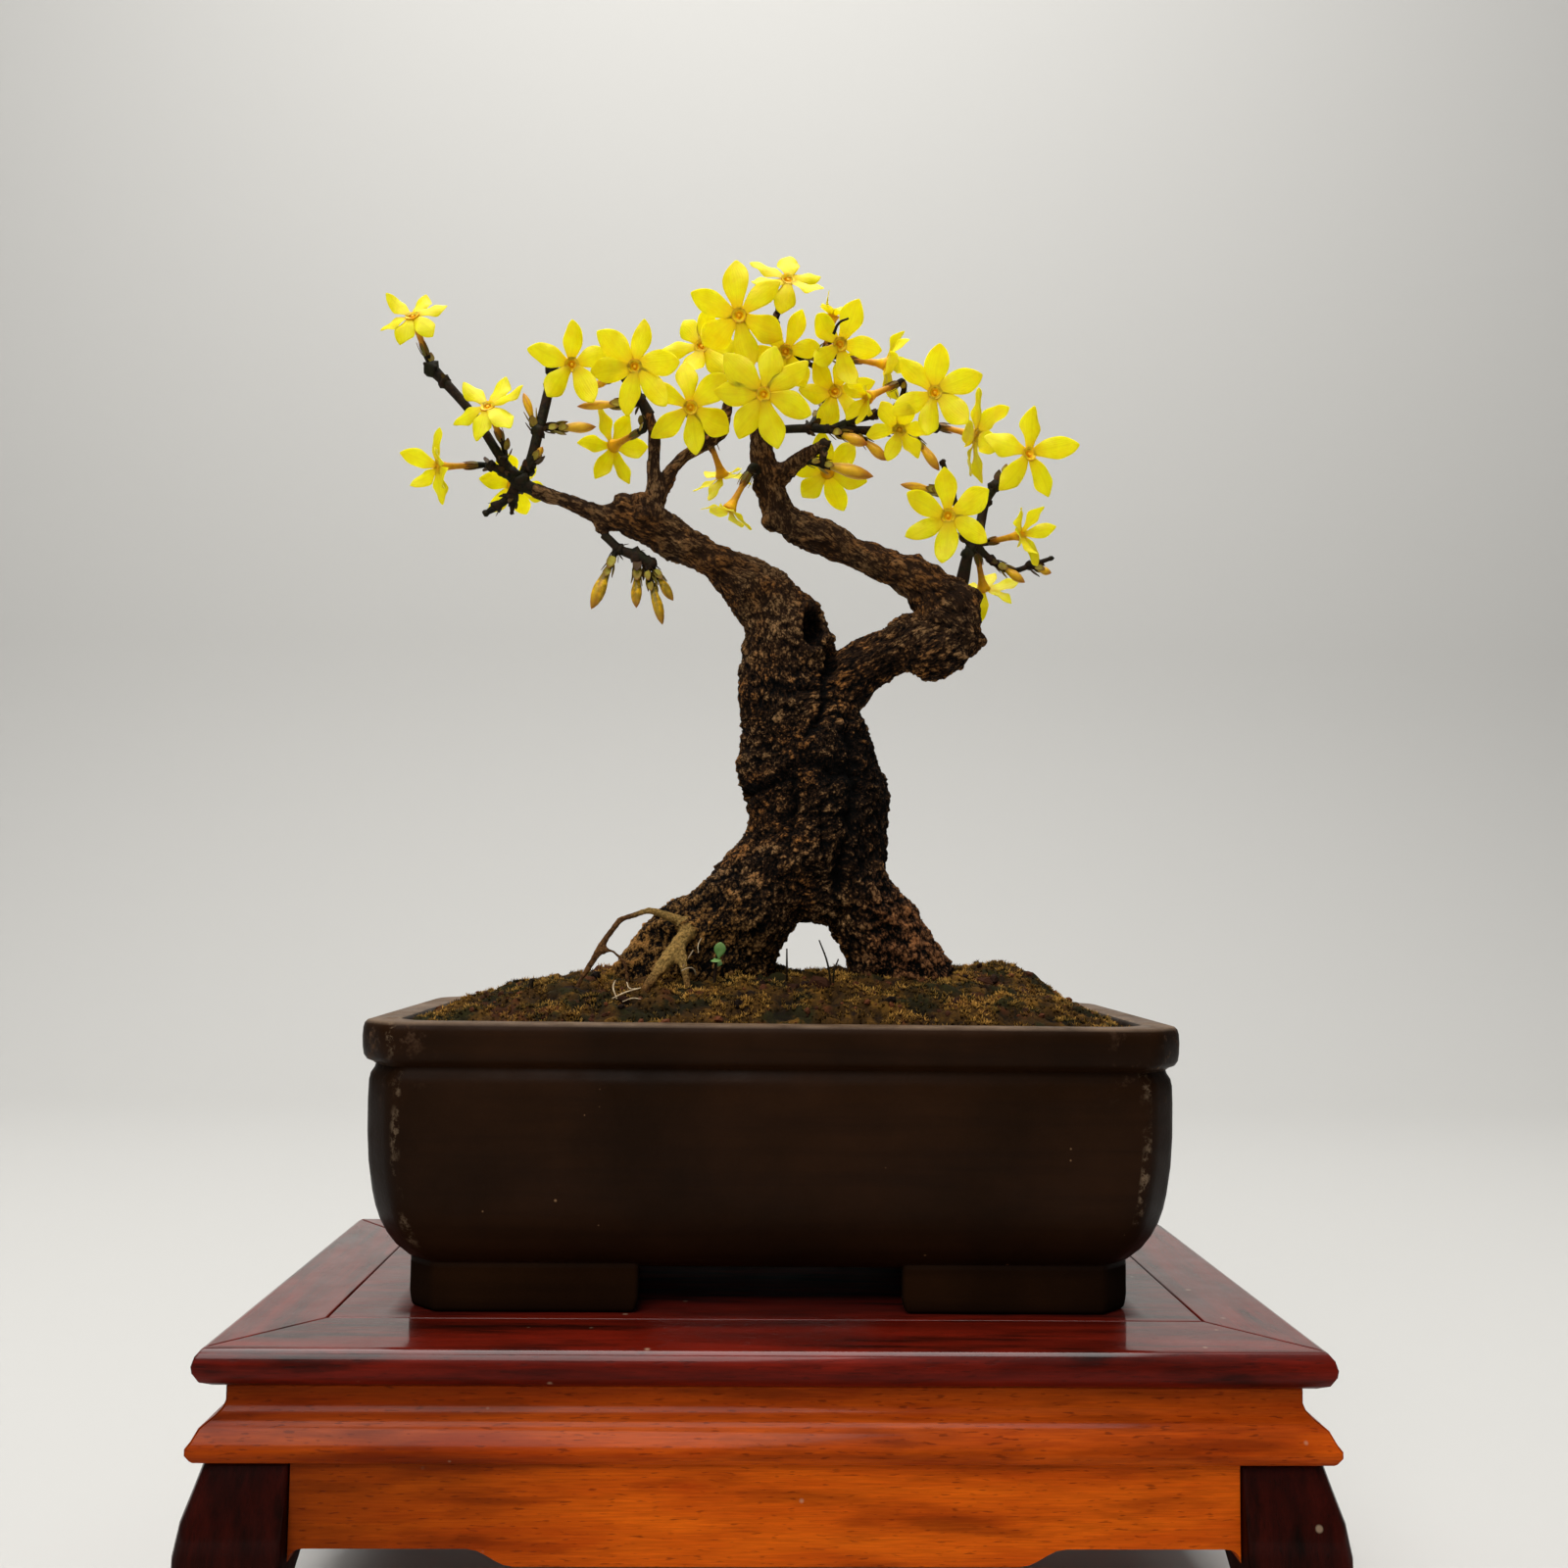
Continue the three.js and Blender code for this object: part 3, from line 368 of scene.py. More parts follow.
def spread(tree, value, low, high, out_low=0.0, out_high=1.0):
    """Stretches the part of a value from low to high over a new range."""
    settings = {"Value": value, "From Min": low, "From Max": high, "To Min": out_low, "To Max": out_high}
    return add(tree, "ShaderNodeMapRange", settings).outputs["Result"]


def tint(tree, factor, first, second):
    """Mixes two colours."""
    mix = add(tree, "ShaderNodeMix", data_type="RGBA", clamp_factor=True)
    for socket, value in zip((mix.inputs[0], mix.inputs[6], mix.inputs[7]), (factor, first, second)):
        feed(tree, socket, value)
    return mix.outputs[2]


def dab(tree, color, mask, share, over):
    """Lays a share of another colour over this one, where the mask is."""
    return tint(tree, times(tree, mask, share), color, over)


def split(tree, vector):
    """The X, Y and Z of a vector."""
    return add(tree, "ShaderNodeSeparateXYZ", {"Vector": vector}).outputs


def facing(tree):
    """Which way the surface faces, as X, Y and Z."""
    return split(tree, add(tree, "ShaderNodeNewGeometry").outputs["Normal"])


def stored(tree, name, output="Fac"):
    """A value that the mesh stores at its points, or its Vector."""
    return add(tree, "ShaderNodeAttribute", attribute_name=name).outputs[output]


def millimetres(tree, turn=(0, 0, 0), stretch=(1, 1, 1)):
    """The object's own coordinates in millimetres, turned and stretched."""
    place = add(tree, "ShaderNodeTexCoord").outputs["Object"]
    scale = [factor / MM for factor in stretch]
    turned = add(tree, "ShaderNodeMapping", {"Vector": place, "Rotation": turn})
    return add(tree, "ShaderNodeMapping", {"Vector": turned.outputs[0], "Scale": scale}).outputs[0]


def scaled(tree, vector, scale):
    """A vector stretched by a scale along each of its axes."""
    return add(tree, "ShaderNodeMapping", {"Vector": vector, "Scale": scale}).outputs[0]


def cloud(tree, vector, size, detail=3, roughness=0.55):
    """Noise whose blotches are about this many millimetres across."""
    settings = {"Vector": vector, "Scale": 1 / size, "Detail": detail, "Roughness": roughness}
    return add(tree, "ShaderNodeTexNoise", settings).outputs["Fac"]


def bump(tree, height, distance, strength=1.0):
    """Turns a height from 0 to 1 into a normal, with the height's real size in millimetres."""
    settings = {"Height": height, "Distance": distance * MM, "Strength": strength}
    return add(tree, "ShaderNodeBump", settings).outputs["Normal"]


# %% [markdown]
# ## Effects that several finishes share
# Wood grain is the same effect on every piece of the stand, only in other colours and turned
# along each piece, so it is one group. Small specks sit on the pot and on the wood, so they are
# another. A group gives only values, and each material decides their use.

# %% Wood grain and specks
def make_wood_grain():
    group, given, out = new_group(
        "wood grain", [("Vector", "NodeSocketVector", None)],
        [("Figure", "NodeSocketFloat"), ("Fibres", "NodeSocketFloat"), ("Pores", "NodeSocketFloat")])

    def stretched(x, y, z):
        return scaled(group, given["Vector"], (x, y, z))

    wander = add(group, "ShaderNodeTexNoise", {"Vector": stretched(0.02, 0.05, 0.05), "Scale": 1.0})
    bent = add(group, "ShaderNodeVectorMath",
               {0: stretched(0.018, 0.16, 0.16), 1: wander.outputs["Color"]}, operation="ADD").outputs[0]
    figure = cloud(group, bent, 1, 5, 0.6)
    fibres = cloud(group, stretched(0.09, 2.4, 2.4), 1, 4, 0.7)
    pores = cloud(group, stretched(0.3, 1.9, 1.9), 1, 1, 0.4)
    group.links.new(spread(group, figure, 0.3, 0.7), out["Figure"])
    group.links.new(spread(group, fibres, 0.3, 0.7), out["Fibres"])
    group.links.new(spread(group, pores, 0.64, 0.72), out["Pores"])
    return group


def make_specks():
    group, given, out = new_group(
        "specks", [("Vector", "NodeSocketVector", None), ("Spacing", "NodeSocketFloat", 3.0),
                   ("Share", "NodeSocketFloat", 0.3), ("Size", "NodeSocketFloat", 0.3)],
        [("Mask", "NodeSocketFloat")])
    scale = sums(group, "DIVIDE", 1.0, given["Spacing"])
    cells = add(group, "ShaderNodeTexVoronoi", {"Vector": given["Vector"], "Scale": scale})
    draw = add(group, "ShaderNodeSeparateColor", {"Color": cells.outputs["Color"]}).outputs[0]
    chosen = sums(group, "LESS_THAN", draw, given["Share"])
    radius = times(group, given["Size"], draw)
    soft_edge = minus(group, plus(group, radius, 0.06), cells.outputs["Distance"])
    spot = times(group, soft_edge, 16.0, clamp=True)
    group.links.new(times(group, spot, chosen), out["Mask"])
    return group


WOOD_GRAIN = make_wood_grain()
SPECKS = make_specks()
print("groups:", [group.name for group in bpy.data.node_groups])


# %% [markdown]
# ## Hardwood of the stand
# The stand is lacquered. Its top is a dark red wood with near-black streaks. Its legs are the same
# wood painted nearly black, as painted shade, and its mouldings and aprons are an orange-brown wood
# with pits. The lacquer is a clear coat over the grain, so the grain stays soft while the reflection
# is sharp. It shines only on level faces, which mirror the bright sky, and has gone dull under the
# pot, where it stays damp.
# The orange wood is darker towards its left end. Grain follows each piece.

# %% Hardwoods
ALONG_X = (0, 0, 0)
ALONG_Y = (0, 0, math.pi / 2)
UPRIGHT = (0, math.pi / 2, 0)
# How far from the middle the polish is full and how far it is gone, along X and along Y.
POLISH_ENDS_X, POLISH_ENDS_Y = (92, 86), (46, 40)
# Where the left end begins to darken and where it is darkest.
DARKENS_FROM, DARKEST_AT = -30, -105


def make_hardwood(name, turn, dark, middle, bright, streaks, pits, coat, sheen, left_end_dark):
    material, tree, shader = new_material(name)
    vector = millimetres(tree, turn=turn)
    grain = grouped(tree, WOOD_GRAIN, Vector=vector)
    color = tint(tree, grain["Figure"], middle, bright)
    drawn_out = millimetres(tree, turn=turn, stretch=(0.13, 1, 1))
    streak = spread(tree, cloud(tree, drawn_out, 6.5, 5, 0.6), 0.5, 0.66)
    color = dab(tree, color, streak, streaks, dark)
    color = dab(tree, color, grain["Fibres"], 0.4, dark)
    color = dab(tree, color, grain["Pores"], pits, dark)
    dust = grouped(tree, SPECKS, Vector=vector, Spacing=7.0, Share=0.14, Size=0.7)["Mask"]
    color = dab(tree, color, dust, 0.35, srgb(196, 170, 140))
    place = split(tree, millimetres(tree))
    # Darker towards the left end of the piece, by the share given for each wood.
    color = tint(tree, spread(tree, place["X"], DARKENS_FROM, DARKEST_AT, 0, left_end_dark), color, dark)
    dull = times(tree, spread(tree, unsigned(tree, place["X"]), *POLISH_ENDS_X),
                 spread(tree, unsigned(tree, place["Y"]), *POLISH_ENDS_Y))
    rough = spread(tree, cloud(tree, vector, 14, 4), 0.3, 0.7, 0.3, 0.46)
    rough = plus(tree, rough, times(tree, dull, 0.5), clamp=True)
    level = spread(tree, facing(tree)["Z"], 0.1, 0.95)
    polish = times(tree, level, spread(tree, dull, 0, 1, coat, 0.0))
    height = minus(tree, times(tree, grain["Fibres"], 0.25), grain["Pores"])
    wire(tree, shader, Base_Color=color, Roughness=rough, Normal=bump(tree, height, 0.12 * pits, 0.7),
         Coat_Weight=polish, Coat_Roughness=0.09, Specular_IOR_Level=sheen)
    return material


def both_ways(name, wood):
    """The same wood twice: with its grain along X and along Y."""
    return {turn: make_hardwood(f"{name} {label}", turn, **wood)
            for label, turn in (("along x", ALONG_X), ("along y", ALONG_Y))}


ROSEWOOD = {"dark": srgb(12, 4, 2), "middle": srgb(66, 10, 4), "bright": srgb(124, 27, 12),
            "streaks": 0.85, "pits": 0.35, "coat": 0.8, "sheen": 0.08, "left_end_dark": 0.0}
# The legs: the same rosewood, painted darker as the shade on upright faces.
SHADED_LEGWOOD = {**ROSEWOOD, "middle": srgb(27, 6, 4), "bright": srgb(56, 12, 6), "sheen": 0.04}
REDWOOD = {"dark": srgb(70, 18, 2), "middle": srgb(158, 52, 6), "bright": srgb(206, 88, 14),
           "streaks": 0.5, "pits": 0.5, "coat": 0.22, "sheen": 0.04, "left_end_dark": 0.35}
AMBERWOOD = {**REDWOOD, "middle": srgb(192, 72, 8), "bright": srgb(234, 106, 14), "left_end_dark": 0.75}
rosewood = both_ways("rosewood", ROSEWOOD)
shaded_legwood = make_hardwood("rosewood of the legs in painted shade", UPRIGHT, **SHADED_LEGWOOD)
redwood = both_ways("redwood", REDWOOD)
amberwood = both_ways("amber redwood", AMBERWOOD)
print("hardwoods:", len(rosewood) + 1 + len(redwood) + len(amberwood))


# %% [markdown]
# ## Stand
# A joiner eases every edge, and the eased edge is what catches the light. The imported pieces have
# the right mouldings but knife edges, so each is copied, its triangles are dissolved back into
# flat faces, and a Bevel modifier rounds what is left. Weighted normals then keep the broad
# faces flat in the light. Modelling each moulding again would give the same shape with more work.

# %% Stand pieces
LEG_EASE, TRIM_EASE = 0.9, 0.45


def eased(node, width):
    """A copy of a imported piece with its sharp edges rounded, the width in millimetres."""
    made = cad_copy(node, f"{node}_eased")
    with editing(made):
        bpy.ops.mesh.dissolve_limited(angle_limit=math.radians(0.5))
    modify(made, "BEVEL", width=width * MM, segments=2, limit_method="ANGLE",
           angle_limit=math.radians(50), use_clamp_overlap=True)
    smooth(made, 40)
    return modify(made, "WEIGHTED_NORMAL", mode="FACE_AREA", weight=50, keep_sharp=True)


sides = {"front": ALONG_X, "back": ALONG_X, "left": ALONG_Y, "right": ALONG_Y}
stand = {f"top_frame_{side}": rosewood[turn] for side, turn in sides.items()}
stand["top_panel"] = rosewood[ALONG_X]
stand["panel_batten"] = redwood[ALONG_Y]
stand |= {f"waist_moulding_{side}": redwood[turn] for side, turn in sides.items()}
stand |= {f"apron_{side}": amberwood[turn] for side, turn in sides.items()}
stand |= {f"leg_{corner}": shaded_legwood for corner in ("front_left", "front_right", "back_left", "back_right")}
for node, wood in stand.items():
    made = eased(node, LEG_EASE if wood is shaded_legwood else TRIM_EASE)
    seat(paint(made, wood), "rosewood" if "rosewood" in wood.name else "redwood", node)


# %% [markdown]
# ## Stoneware pot
# Unglazed brown stoneware is dark and nearly dull. Fine mineral grains show as pale pinpricks,
# wiping leaves faint level streaks, and lime from the water leaves pale crusts near the corners
# of the rim. The lip is painted pale, partly wear and partly a painted highlight along its top
# edge, and so are the cut corners of the wall, in patches. The ends are painted darker than the
# front, as painted shade. Each of these is a mask of height, of facing or of noise.

# %% Stoneware
FOOT_TOP = (90.6, 91.6)


def make_stoneware():
    material, tree, shader = new_material("brown stoneware")
    vector = millimetres(tree)
    place = split(tree, vector)
    blotch = spread(tree, cloud(tree, vector, 38, 4), 0.35, 0.68)
    color = tint(tree, blotch, srgb(28, 14, 4), srgb(42, 23, 9))
    level_lines = millimetres(tree, stretch=(0.05, 0.05, 1))
    wiped = spread(tree, cloud(tree, level_lines, 3.2, 3), 0.45, 0.75)
    color = dab(tree, color, wiped, 0.4, srgb(20, 10, 5))
    grains = grouped(tree, SPECKS, Vector=vector, Spacing=3.4, Share=0.07, Size=0.9)["Mask"]
    color = dab(tree, color, grains, 0.55, srgb(166, 128, 92))
    near_end = spread(tree, unsigned(tree, place["X"]), 78, 97)
    near_rim = spread(tree, place["Z"], 128, 146)
    lime = spread(tree, cloud(tree, vector, 4.2, 5, 0.7), 0.56, 0.68)
    crust = times(tree, lime, times(tree, near_end, near_rim))
    color = dab(tree, color, crust, 0.55, srgb(128, 96, 72))
    # The lip: worn pale in patches, and painted pale for the highlight along its top edge.
    lip = spread(tree, place["Z"], 149.1, 149.9)
    lip_wear_and_highlight = times(tree, lip, spread(tree, cloud(tree, vector, 9, 5, 0.65), 0.3, 0.7, 0.25, 0.8))
    color = tint(tree, lip_wear_and_highlight, color, srgb(122, 100, 80))
    # Painted shade: faces that turn towards the ends of the pot are darker.
    across = unsigned(tree, facing(tree)["X"])
    color = tint(tree, spread(tree, across, 0.3, 0.9, 0, 0.5), color, srgb(12, 7, 3))
    # The cut corners: worn pale in patches, and painted pale for the highlight lines they catch.
    corner_wear_and_highlight = times(tree, spread(tree, across, 0.1, 0.2), spread(tree, across, 0.5, 0.38))
    for patch in (spread(tree, cloud(tree, vector, 2.6, 5, 0.75), 0.5, 0.62),
                  spread(tree, cloud(tree, vector, 17, 2), 0.4, 0.55), spread(tree, place["Z"], 92, 98)):
        corner_wear_and_highlight = times(tree, corner_wear_and_highlight, patch)
    color = dab(tree, color, corner_wear_and_highlight, 0.6, srgb(138, 116, 92))
    rough = spread(tree, cloud(tree, vector, 11, 5, 0.6), 0.3, 0.7, 0.36, 0.54)
    rough = plus(tree, rough, times(tree, crust, 0.3), clamp=True)
    rough = sums(tree, "MAXIMUM", rough, spread(tree, place["Z"], *FOOT_TOP, 1, 0))
    height = plus(tree, times(tree, cloud(tree, vector, 0.9, 4), 0.3),
                  plus(tree, cloud(tree, vector, 16, 2), times(tree, crust, 0.6)))
    wire(tree, shader, Base_Color=color, Roughness=rough, Normal=bump(tree, height, 0.22, 0.8),
         Specular_IOR_Level=0.05)
    return material


stoneware = make_stoneware()
print(stoneware.name, "has", len(stoneware.node_tree.nodes), "nodes")


# %% [markdown]
# The pot is one slab of clay raised and tucked in row by row: a plane with its corners cut and
# then rounded is extruded up the outside, over the rim and down the inside, and each new row
# is drawn to the size that the real profile has there. Four angled feet are rounded by a bevel.

# %% Pot
POT_CENTRE = mm(0.6, 3, 0)
RIM_HALF = (100.0, 56.4)
CORNER_CUT, CORNER_ROUND = 9.4, 2.4
# Each row as (height, how far inside the widest part of the rim), in millimetres.
POT_ROWS = [(90.5, 15.6), (90.9, 13.4), (92.6, 10.7), (95.5, 8), (98.6, 6.1), (102, 4.6), (105.4, 3.6),
            (109, 2.9), (116, 2), (123, 1.6), (131, 1.5), (135.4, 1.6), (137, 1.9), (138.4, 2.7),
            (139.2, 2.9), (139.9, 2.2), (140.5, 1), (141.6, 0.35), (143.4, 0.1), (146, 0), (148, 0.1),
            (149.2, 0.4), (149.8, 0.95), (150, 1.8), (150, 6.9), (149.7, 7.9), (148.8, 8.4), (140, 8.8),
            (126, 9.2), (112, 12.4), (102, 17)]
FOOT_INSET, FOOT_WIDTH, FOOT_CUT = 11.6, 14, 7.0
FOOT_INNER_X, FOOT_INNER_Y = 31.6, 13.4
FOOT_HIGH = 94
# Each step of a foot downwards as (drop, how wide it is drawn).
FOOT_STEPS = ((-10.4, 1.0), (-3.6, 0.975))


def make_pot_body():
    height, inside = POT_ROWS[0]
    half_x, half_y = (half - inside for half in RIM_HALF)
    bpy.ops.mesh.primitive_plane_add(size=2, location=(0, 0, 0))
    body = bpy.context.object
    body.name = "pot_body"
    body.data.transform(Matrix.Translation(POT_CENTRE + mm(0, 0, height))
                        @ Matrix.Diagonal((half_x * MM, half_y * MM, 1, 1)))
    with editing(body):
        bpy.ops.mesh.bevel(offset=CORNER_CUT * MM, offset_type="WIDTH", segments=1, affect="VERTICES")
        bpy.ops.mesh.select_all(action="SELECT")
        bpy.ops.mesh.bevel(offset=CORNER_ROUND * MM, segments=4, affect="VERTICES")
        bpy.ops.mesh.select_all(action="SELECT")
        for (low, last), (high, inset) in zip(POT_ROWS, POT_ROWS[1:]):
            bpy.ops.mesh.extrude_region_move(TRANSFORM_OT_translate={"value": (0, 0, (high - low) * MM)})
            drawn = [(half - inset) / (half - last) for half in RIM_HALF]
            bpy.ops.transform.resize(value=(*drawn, 1), center_override=POT_CENTRE + mm(0, 0, high))
        bpy.ops.mesh.select_all(action="SELECT")
        bpy.ops.mesh.normals_make_consistent(inside=False)
    return body


def make_foot(sign_x, sign_y):
    """An angled foot with a cut corner, a little narrower where it stands."""
    outer_x, outer_y = (half - FOOT_INSET for half in RIM_HALF)
    outline = [(FOOT_INNER_X, outer_y), (outer_x - FOOT_CUT, outer_y), (outer_x, outer_y - FOOT_CUT),
               (outer_x, FOOT_INNER_Y), (outer_x - FOOT_WIDTH, FOOT_INNER_Y),
               (outer_x - FOOT_WIDTH, outer_y - FOOT_WIDTH), (FOOT_INNER_X + 2.6, outer_y - FOOT_WIDTH)]
    corners = [POT_CENTRE + mm(sign_x * x, sign_y * y, FOOT_HIGH) for x, y in outline]
    foot = new_mesh("foot", corners, faces=[range(len(outline))])
    middle = POT_CENTRE + mm(sign_x * (outer_x - 20), sign_y * (outer_y - FOOT_WIDTH), 0)
    with editing(foot):
        for drop, width in FOOT_STEPS:
            bpy.ops.mesh.extrude_region_move(TRANSFORM_OT_translate={"value": (0, 0, drop * MM)})
            bpy.ops.transform.resize(value=(width, width, 1), center_override=middle)
        bpy.ops.mesh.select_all(action="SELECT")
        bpy.ops.mesh.normals_make_consistent(inside=False)
    return modify(foot, "BEVEL", width=1.5 * MM, segments=3, limit_method="ANGLE",
                  angle_limit=math.radians(25))


feet = [make_foot(sign_x, sign_y) for sign_x in (-1, 1) for sign_y in (-1, 1)]
pot = smooth(join([make_pot_body(), *feet], "pot_of_stoneware"), 42)
seat(paint(pot, stoneware), "stoneware", "pot")


# %% [markdown]
# ## Moss and soil
# The ground is a mound of soil under patches of moss, dark green in the damp places and ochre
# where it has dried. The packed soil gives the mound. A copy is cut off below the rim, given
# even faces by a voxel remesh, and lifted by noise: into round cushions, into finer clumps, and
# into low ledges that end in a bare hollow, where the moss has slipped off the slope.

# %% Ground
SOIL_CUT = 138.0
GROUND_VOXEL = 1.0
CUSHION_SIZE = 8.0


def ground_lift(point):
    """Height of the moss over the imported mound, in millimetres."""
    x, y, z = point / MM
    cushions = noise.noise(Vector((x / CUSHION_SIZE, y / CUSHION_SIZE, 3.1)))
    clumps = noise.fractal(Vector((x / 5.2, y / 3.6, z / 4)), 0.8, 2.1, 3)
    layers = 3.0 * noise.noise(Vector((x / 11, y / 6, 8.3)))
    ledge = layers - math.floor(layers)
    rise, hollow = min(1.0, 3 * ledge), max(0.0, 3 * ledge - 2)
    return 1.5 * cushions + 1.3 * clumps + 1.4 * rise - 1.2 * hollow - 0.9


ground = cad_copy("mossy_soil", "mossy_ground")
with editing(ground):
    bpy.ops.mesh.bisect(plane_co=(0, 0, SOIL_CUT * MM), plane_no=(0, 0, 1), use_fill=True, clear_inner=True)
modify(ground, "REMESH", mode="VOXEL", voxel_size=GROUND_VOXEL * MM)
modify(ground, "SMOOTH", factor=0.6, iterations=4)
points = points_of(ground)
top = normals_of(ground)[:, 2] > 0.3
lift = np.array([ground_lift(point) if up else 0.0 for point, up in zip(points, top)])
points[:, 2] += np.where(top, lift, 0.0) * MM
move_points(ground, points)
give_attribute(ground, "relief", "FLOAT", np.clip(0.62 + lift / 4, 0, 1))
print("ground:", len(points), "points, lifted up to", round(lift.max(), 2), "mm")


# %% [markdown]
# The colour of moss is laid out once, as a group that both the ground and its tufts use: patches
# of olive, ochre, rust and bare soil, each from a noise of its own size, laid one over another.

# %% Moss
MOSS_BASE = srgb(112, 76, 25)
# Each patch: size of its noise, detail, roughness, where it begins, where it is full, colour.
MOSS_PATCHES = [(15, 3, 0.55, 0.46, 0.54, srgb(58, 55, 19)), (10, 4, 0.65, 0.53, 0.6, srgb(160, 112, 40)),
                (12, 4, 0.65, 0.57, 0.63, srgb(122, 68, 32)), (7, 4, 0.6, 0.6, 0.66, srgb(52, 32, 20))]


def make_moss_colour():
    group, given, out = new_group("moss colour", [("Vector", "NodeSocketVector", None)],
                                  [("Colour", "NodeSocketColor")])
    color = MOSS_BASE
    for size, detail, roughness, low, high, patch in MOSS_PATCHES:
        mask = spread(group, cloud(group, given["Vector"], size, detail, roughness), low, high)
        color = tint(group, mask, color, patch)
    group.links.new(color, out["Colour"])
    return group


MOSS_COLOUR = make_moss_colour()


def make_ground():
    material, tree, shader = new_material("mossy ground")
    vector = millimetres(tree)
    moss = grouped(tree, MOSS_COLOUR, Vector=vector)["Colour"]
    # Painted shade: the ground is darkened towards near black, most in its low places.
    hollow_shade = spread(tree, stored(tree, "relief"), 0.3, 1.0, 1.0, 0.5)
    color = tint(tree, hollow_shade, moss, srgb(9, 6, 3))
    grit = spread(tree, cloud(tree, vector, 1.1, 4, 0.7), 0.35, 0.65)
    color = dab(tree, color, grit, 0.6, srgb(28, 18, 10))
    height = cloud(tree, vector, 0.8, 4, 0.7)
    wire(tree, shader, Base_Color=color, Roughness=0.95, Normal=bump(tree, height, 0.6),
         Specular_IOR_Level=0.1)
    return material


def make_tuft_moss():
    material, tree, shader = new_material("moss tufts")
    moss = grouped(tree, MOSS_COLOUR, Vector=millimetres(tree))["Colour"]
    draw, along, _ = split(tree, stored(tree, "tuft_place", "Vector"))
    # Painted shade: each spike is darker towards its foot.
    color = tint(tree, spread(tree, along, 0.15, 0.8, 0.95, 0.0), moss, srgb(9, 6, 2))
    # Painted shade: tufts in the gaps between the cushions are darker.
    color = tint(tree, spread(tree, draw, 0.3, 0.6, 0.9, 0.0), color, srgb(11, 8, 4))
    # Pale gold tips, brightest on the cushions: partly the moss's own colour, partly a painted highlight.
    tip = times(tree, spread(tree, along, 0.3, 0.9), spread(tree, draw, 0.4, 0.85, 0.05, 1.0))
    color = tint(tree, tip, color, srgb(244, 186, 92))
    wire(tree, shader, Base_Color=color, Roughness=0.9, Specular_IOR_Level=0.1)
    return material


seat(smooth(paint(ground, make_ground()), 60), "moss", "mossy_soil")


# %% [markdown]
# A tuft is four three-sided spikes that lean apart. It is repeated over the top faces of the
# ground, turned at random. It is taller on the cushions and left out in the gaps between them
# and where the soil is bare. Its colour is painted paler on the cushions and darker towards its
# foot and towards the gaps, as painted light and shade. Its points are repeated straight into
# one mesh, because thousands of separate objects would be slow.

# %% Tools for scattering
def model_tuft(name, spikes, height, radius):
    """Spikes on one foot, in millimetres."""
    parts = []
    for k in range(spikes):
        tall = height * (0.75 + 0.5 * random.random())
        bpy.ops.mesh.primitive_cone_add(vertices=3, radius1=radius * MM, depth=tall * MM,
                                        location=(0, 0, tall / 2 * MM), end_fill_type="NOTHING")
        spike = settle(bpy.context.object)
        angle = 2 * math.pi * k / spikes
        lean = Matrix.Rotation(angle, 4, "Z") @ Matrix.Rotation(0.25 + 0.45 * random.random(), 4, "Y")
        spike.data.transform(lean)
        parts.append(spike)
    return join(parts, name)


def repeat(proto, name, matrices, draws):
    """One mesh with the prototype's points repeated by each matrix, and a draw for each copy."""
    base = points_of(proto)
    faces = [tuple(polygon.vertices) for polygon in proto.data.polygons]
    tall = base[:, 2].max()
    turned = np.array([np.array(m.to_3x3()) for m in matrices])
    shift = np.array([m.translation for m in matrices])
    points = np.einsum("nij,vj->nvi", turned, base) + shift[:, None, :]
    count = len(base)
    every = [tuple(i + n * count for i in face) for n in range(len(matrices)) for face in faces]
    made = new_mesh(name, points.reshape(-1, 3).tolist(), faces=every)
    draw_of_point = np.repeat(draws, count)
    give_place(made, "tuft_place", draw_of_point, np.tile(base[:, 2] / tall, len(matrices)))
    bpy.data.objects.remove(proto)
    return made


def scatter_places(surface, count, keep):
    """Random places on a mesh's upward faces, as (point, normal) pairs that keep() accepts."""
    faces = [p for p in surface.data.polygons if p.normal.z > 0.35]
    chosen = random.choices(faces, weights=[p.area for p in faces], k=count)
    places = []
    for face in chosen:
        corners = [surface.data.vertices[i].co for i in face.vertices]
        shares = [random.random() for _ in corners]
        point = sum((c * s for c, s in zip(corners, shares)), Vector()) / sum(shares)
        if keep(point):
            places.append((point, face.normal.copy()))
    return places


def lushness(point):
    """Below 0 where the soil is nearly bare."""
    return noise.noise(Vector(point) / (11 * MM) + Vector((5, 0, 0)))


def clump(point):
    """About 0.5: high on the cushions of moss, and low in the gaps between them."""
    x, y, z = point / MM
    return 0.5 + 0.55 * noise.fractal(Vector((x / 6, y / 8, 2.7)), 0.7, 2.2, 3)


# %% [markdown]
# Fifteen thousand places are drawn, and the mossy ones keep a tuft. Each leans a little off the
# slope and is sunk a fifth of a millimetre, so that its open foot doesn't show.

# %% Tufts
TUFTS = 15000
BARE_BELOW, GAP_BELOW = -0.42, 0.3
TUFT_SUNK = 0.2


def mossy(point):
    return lushness(point) > BARE_BELOW and clump(point) > GAP_BELOW


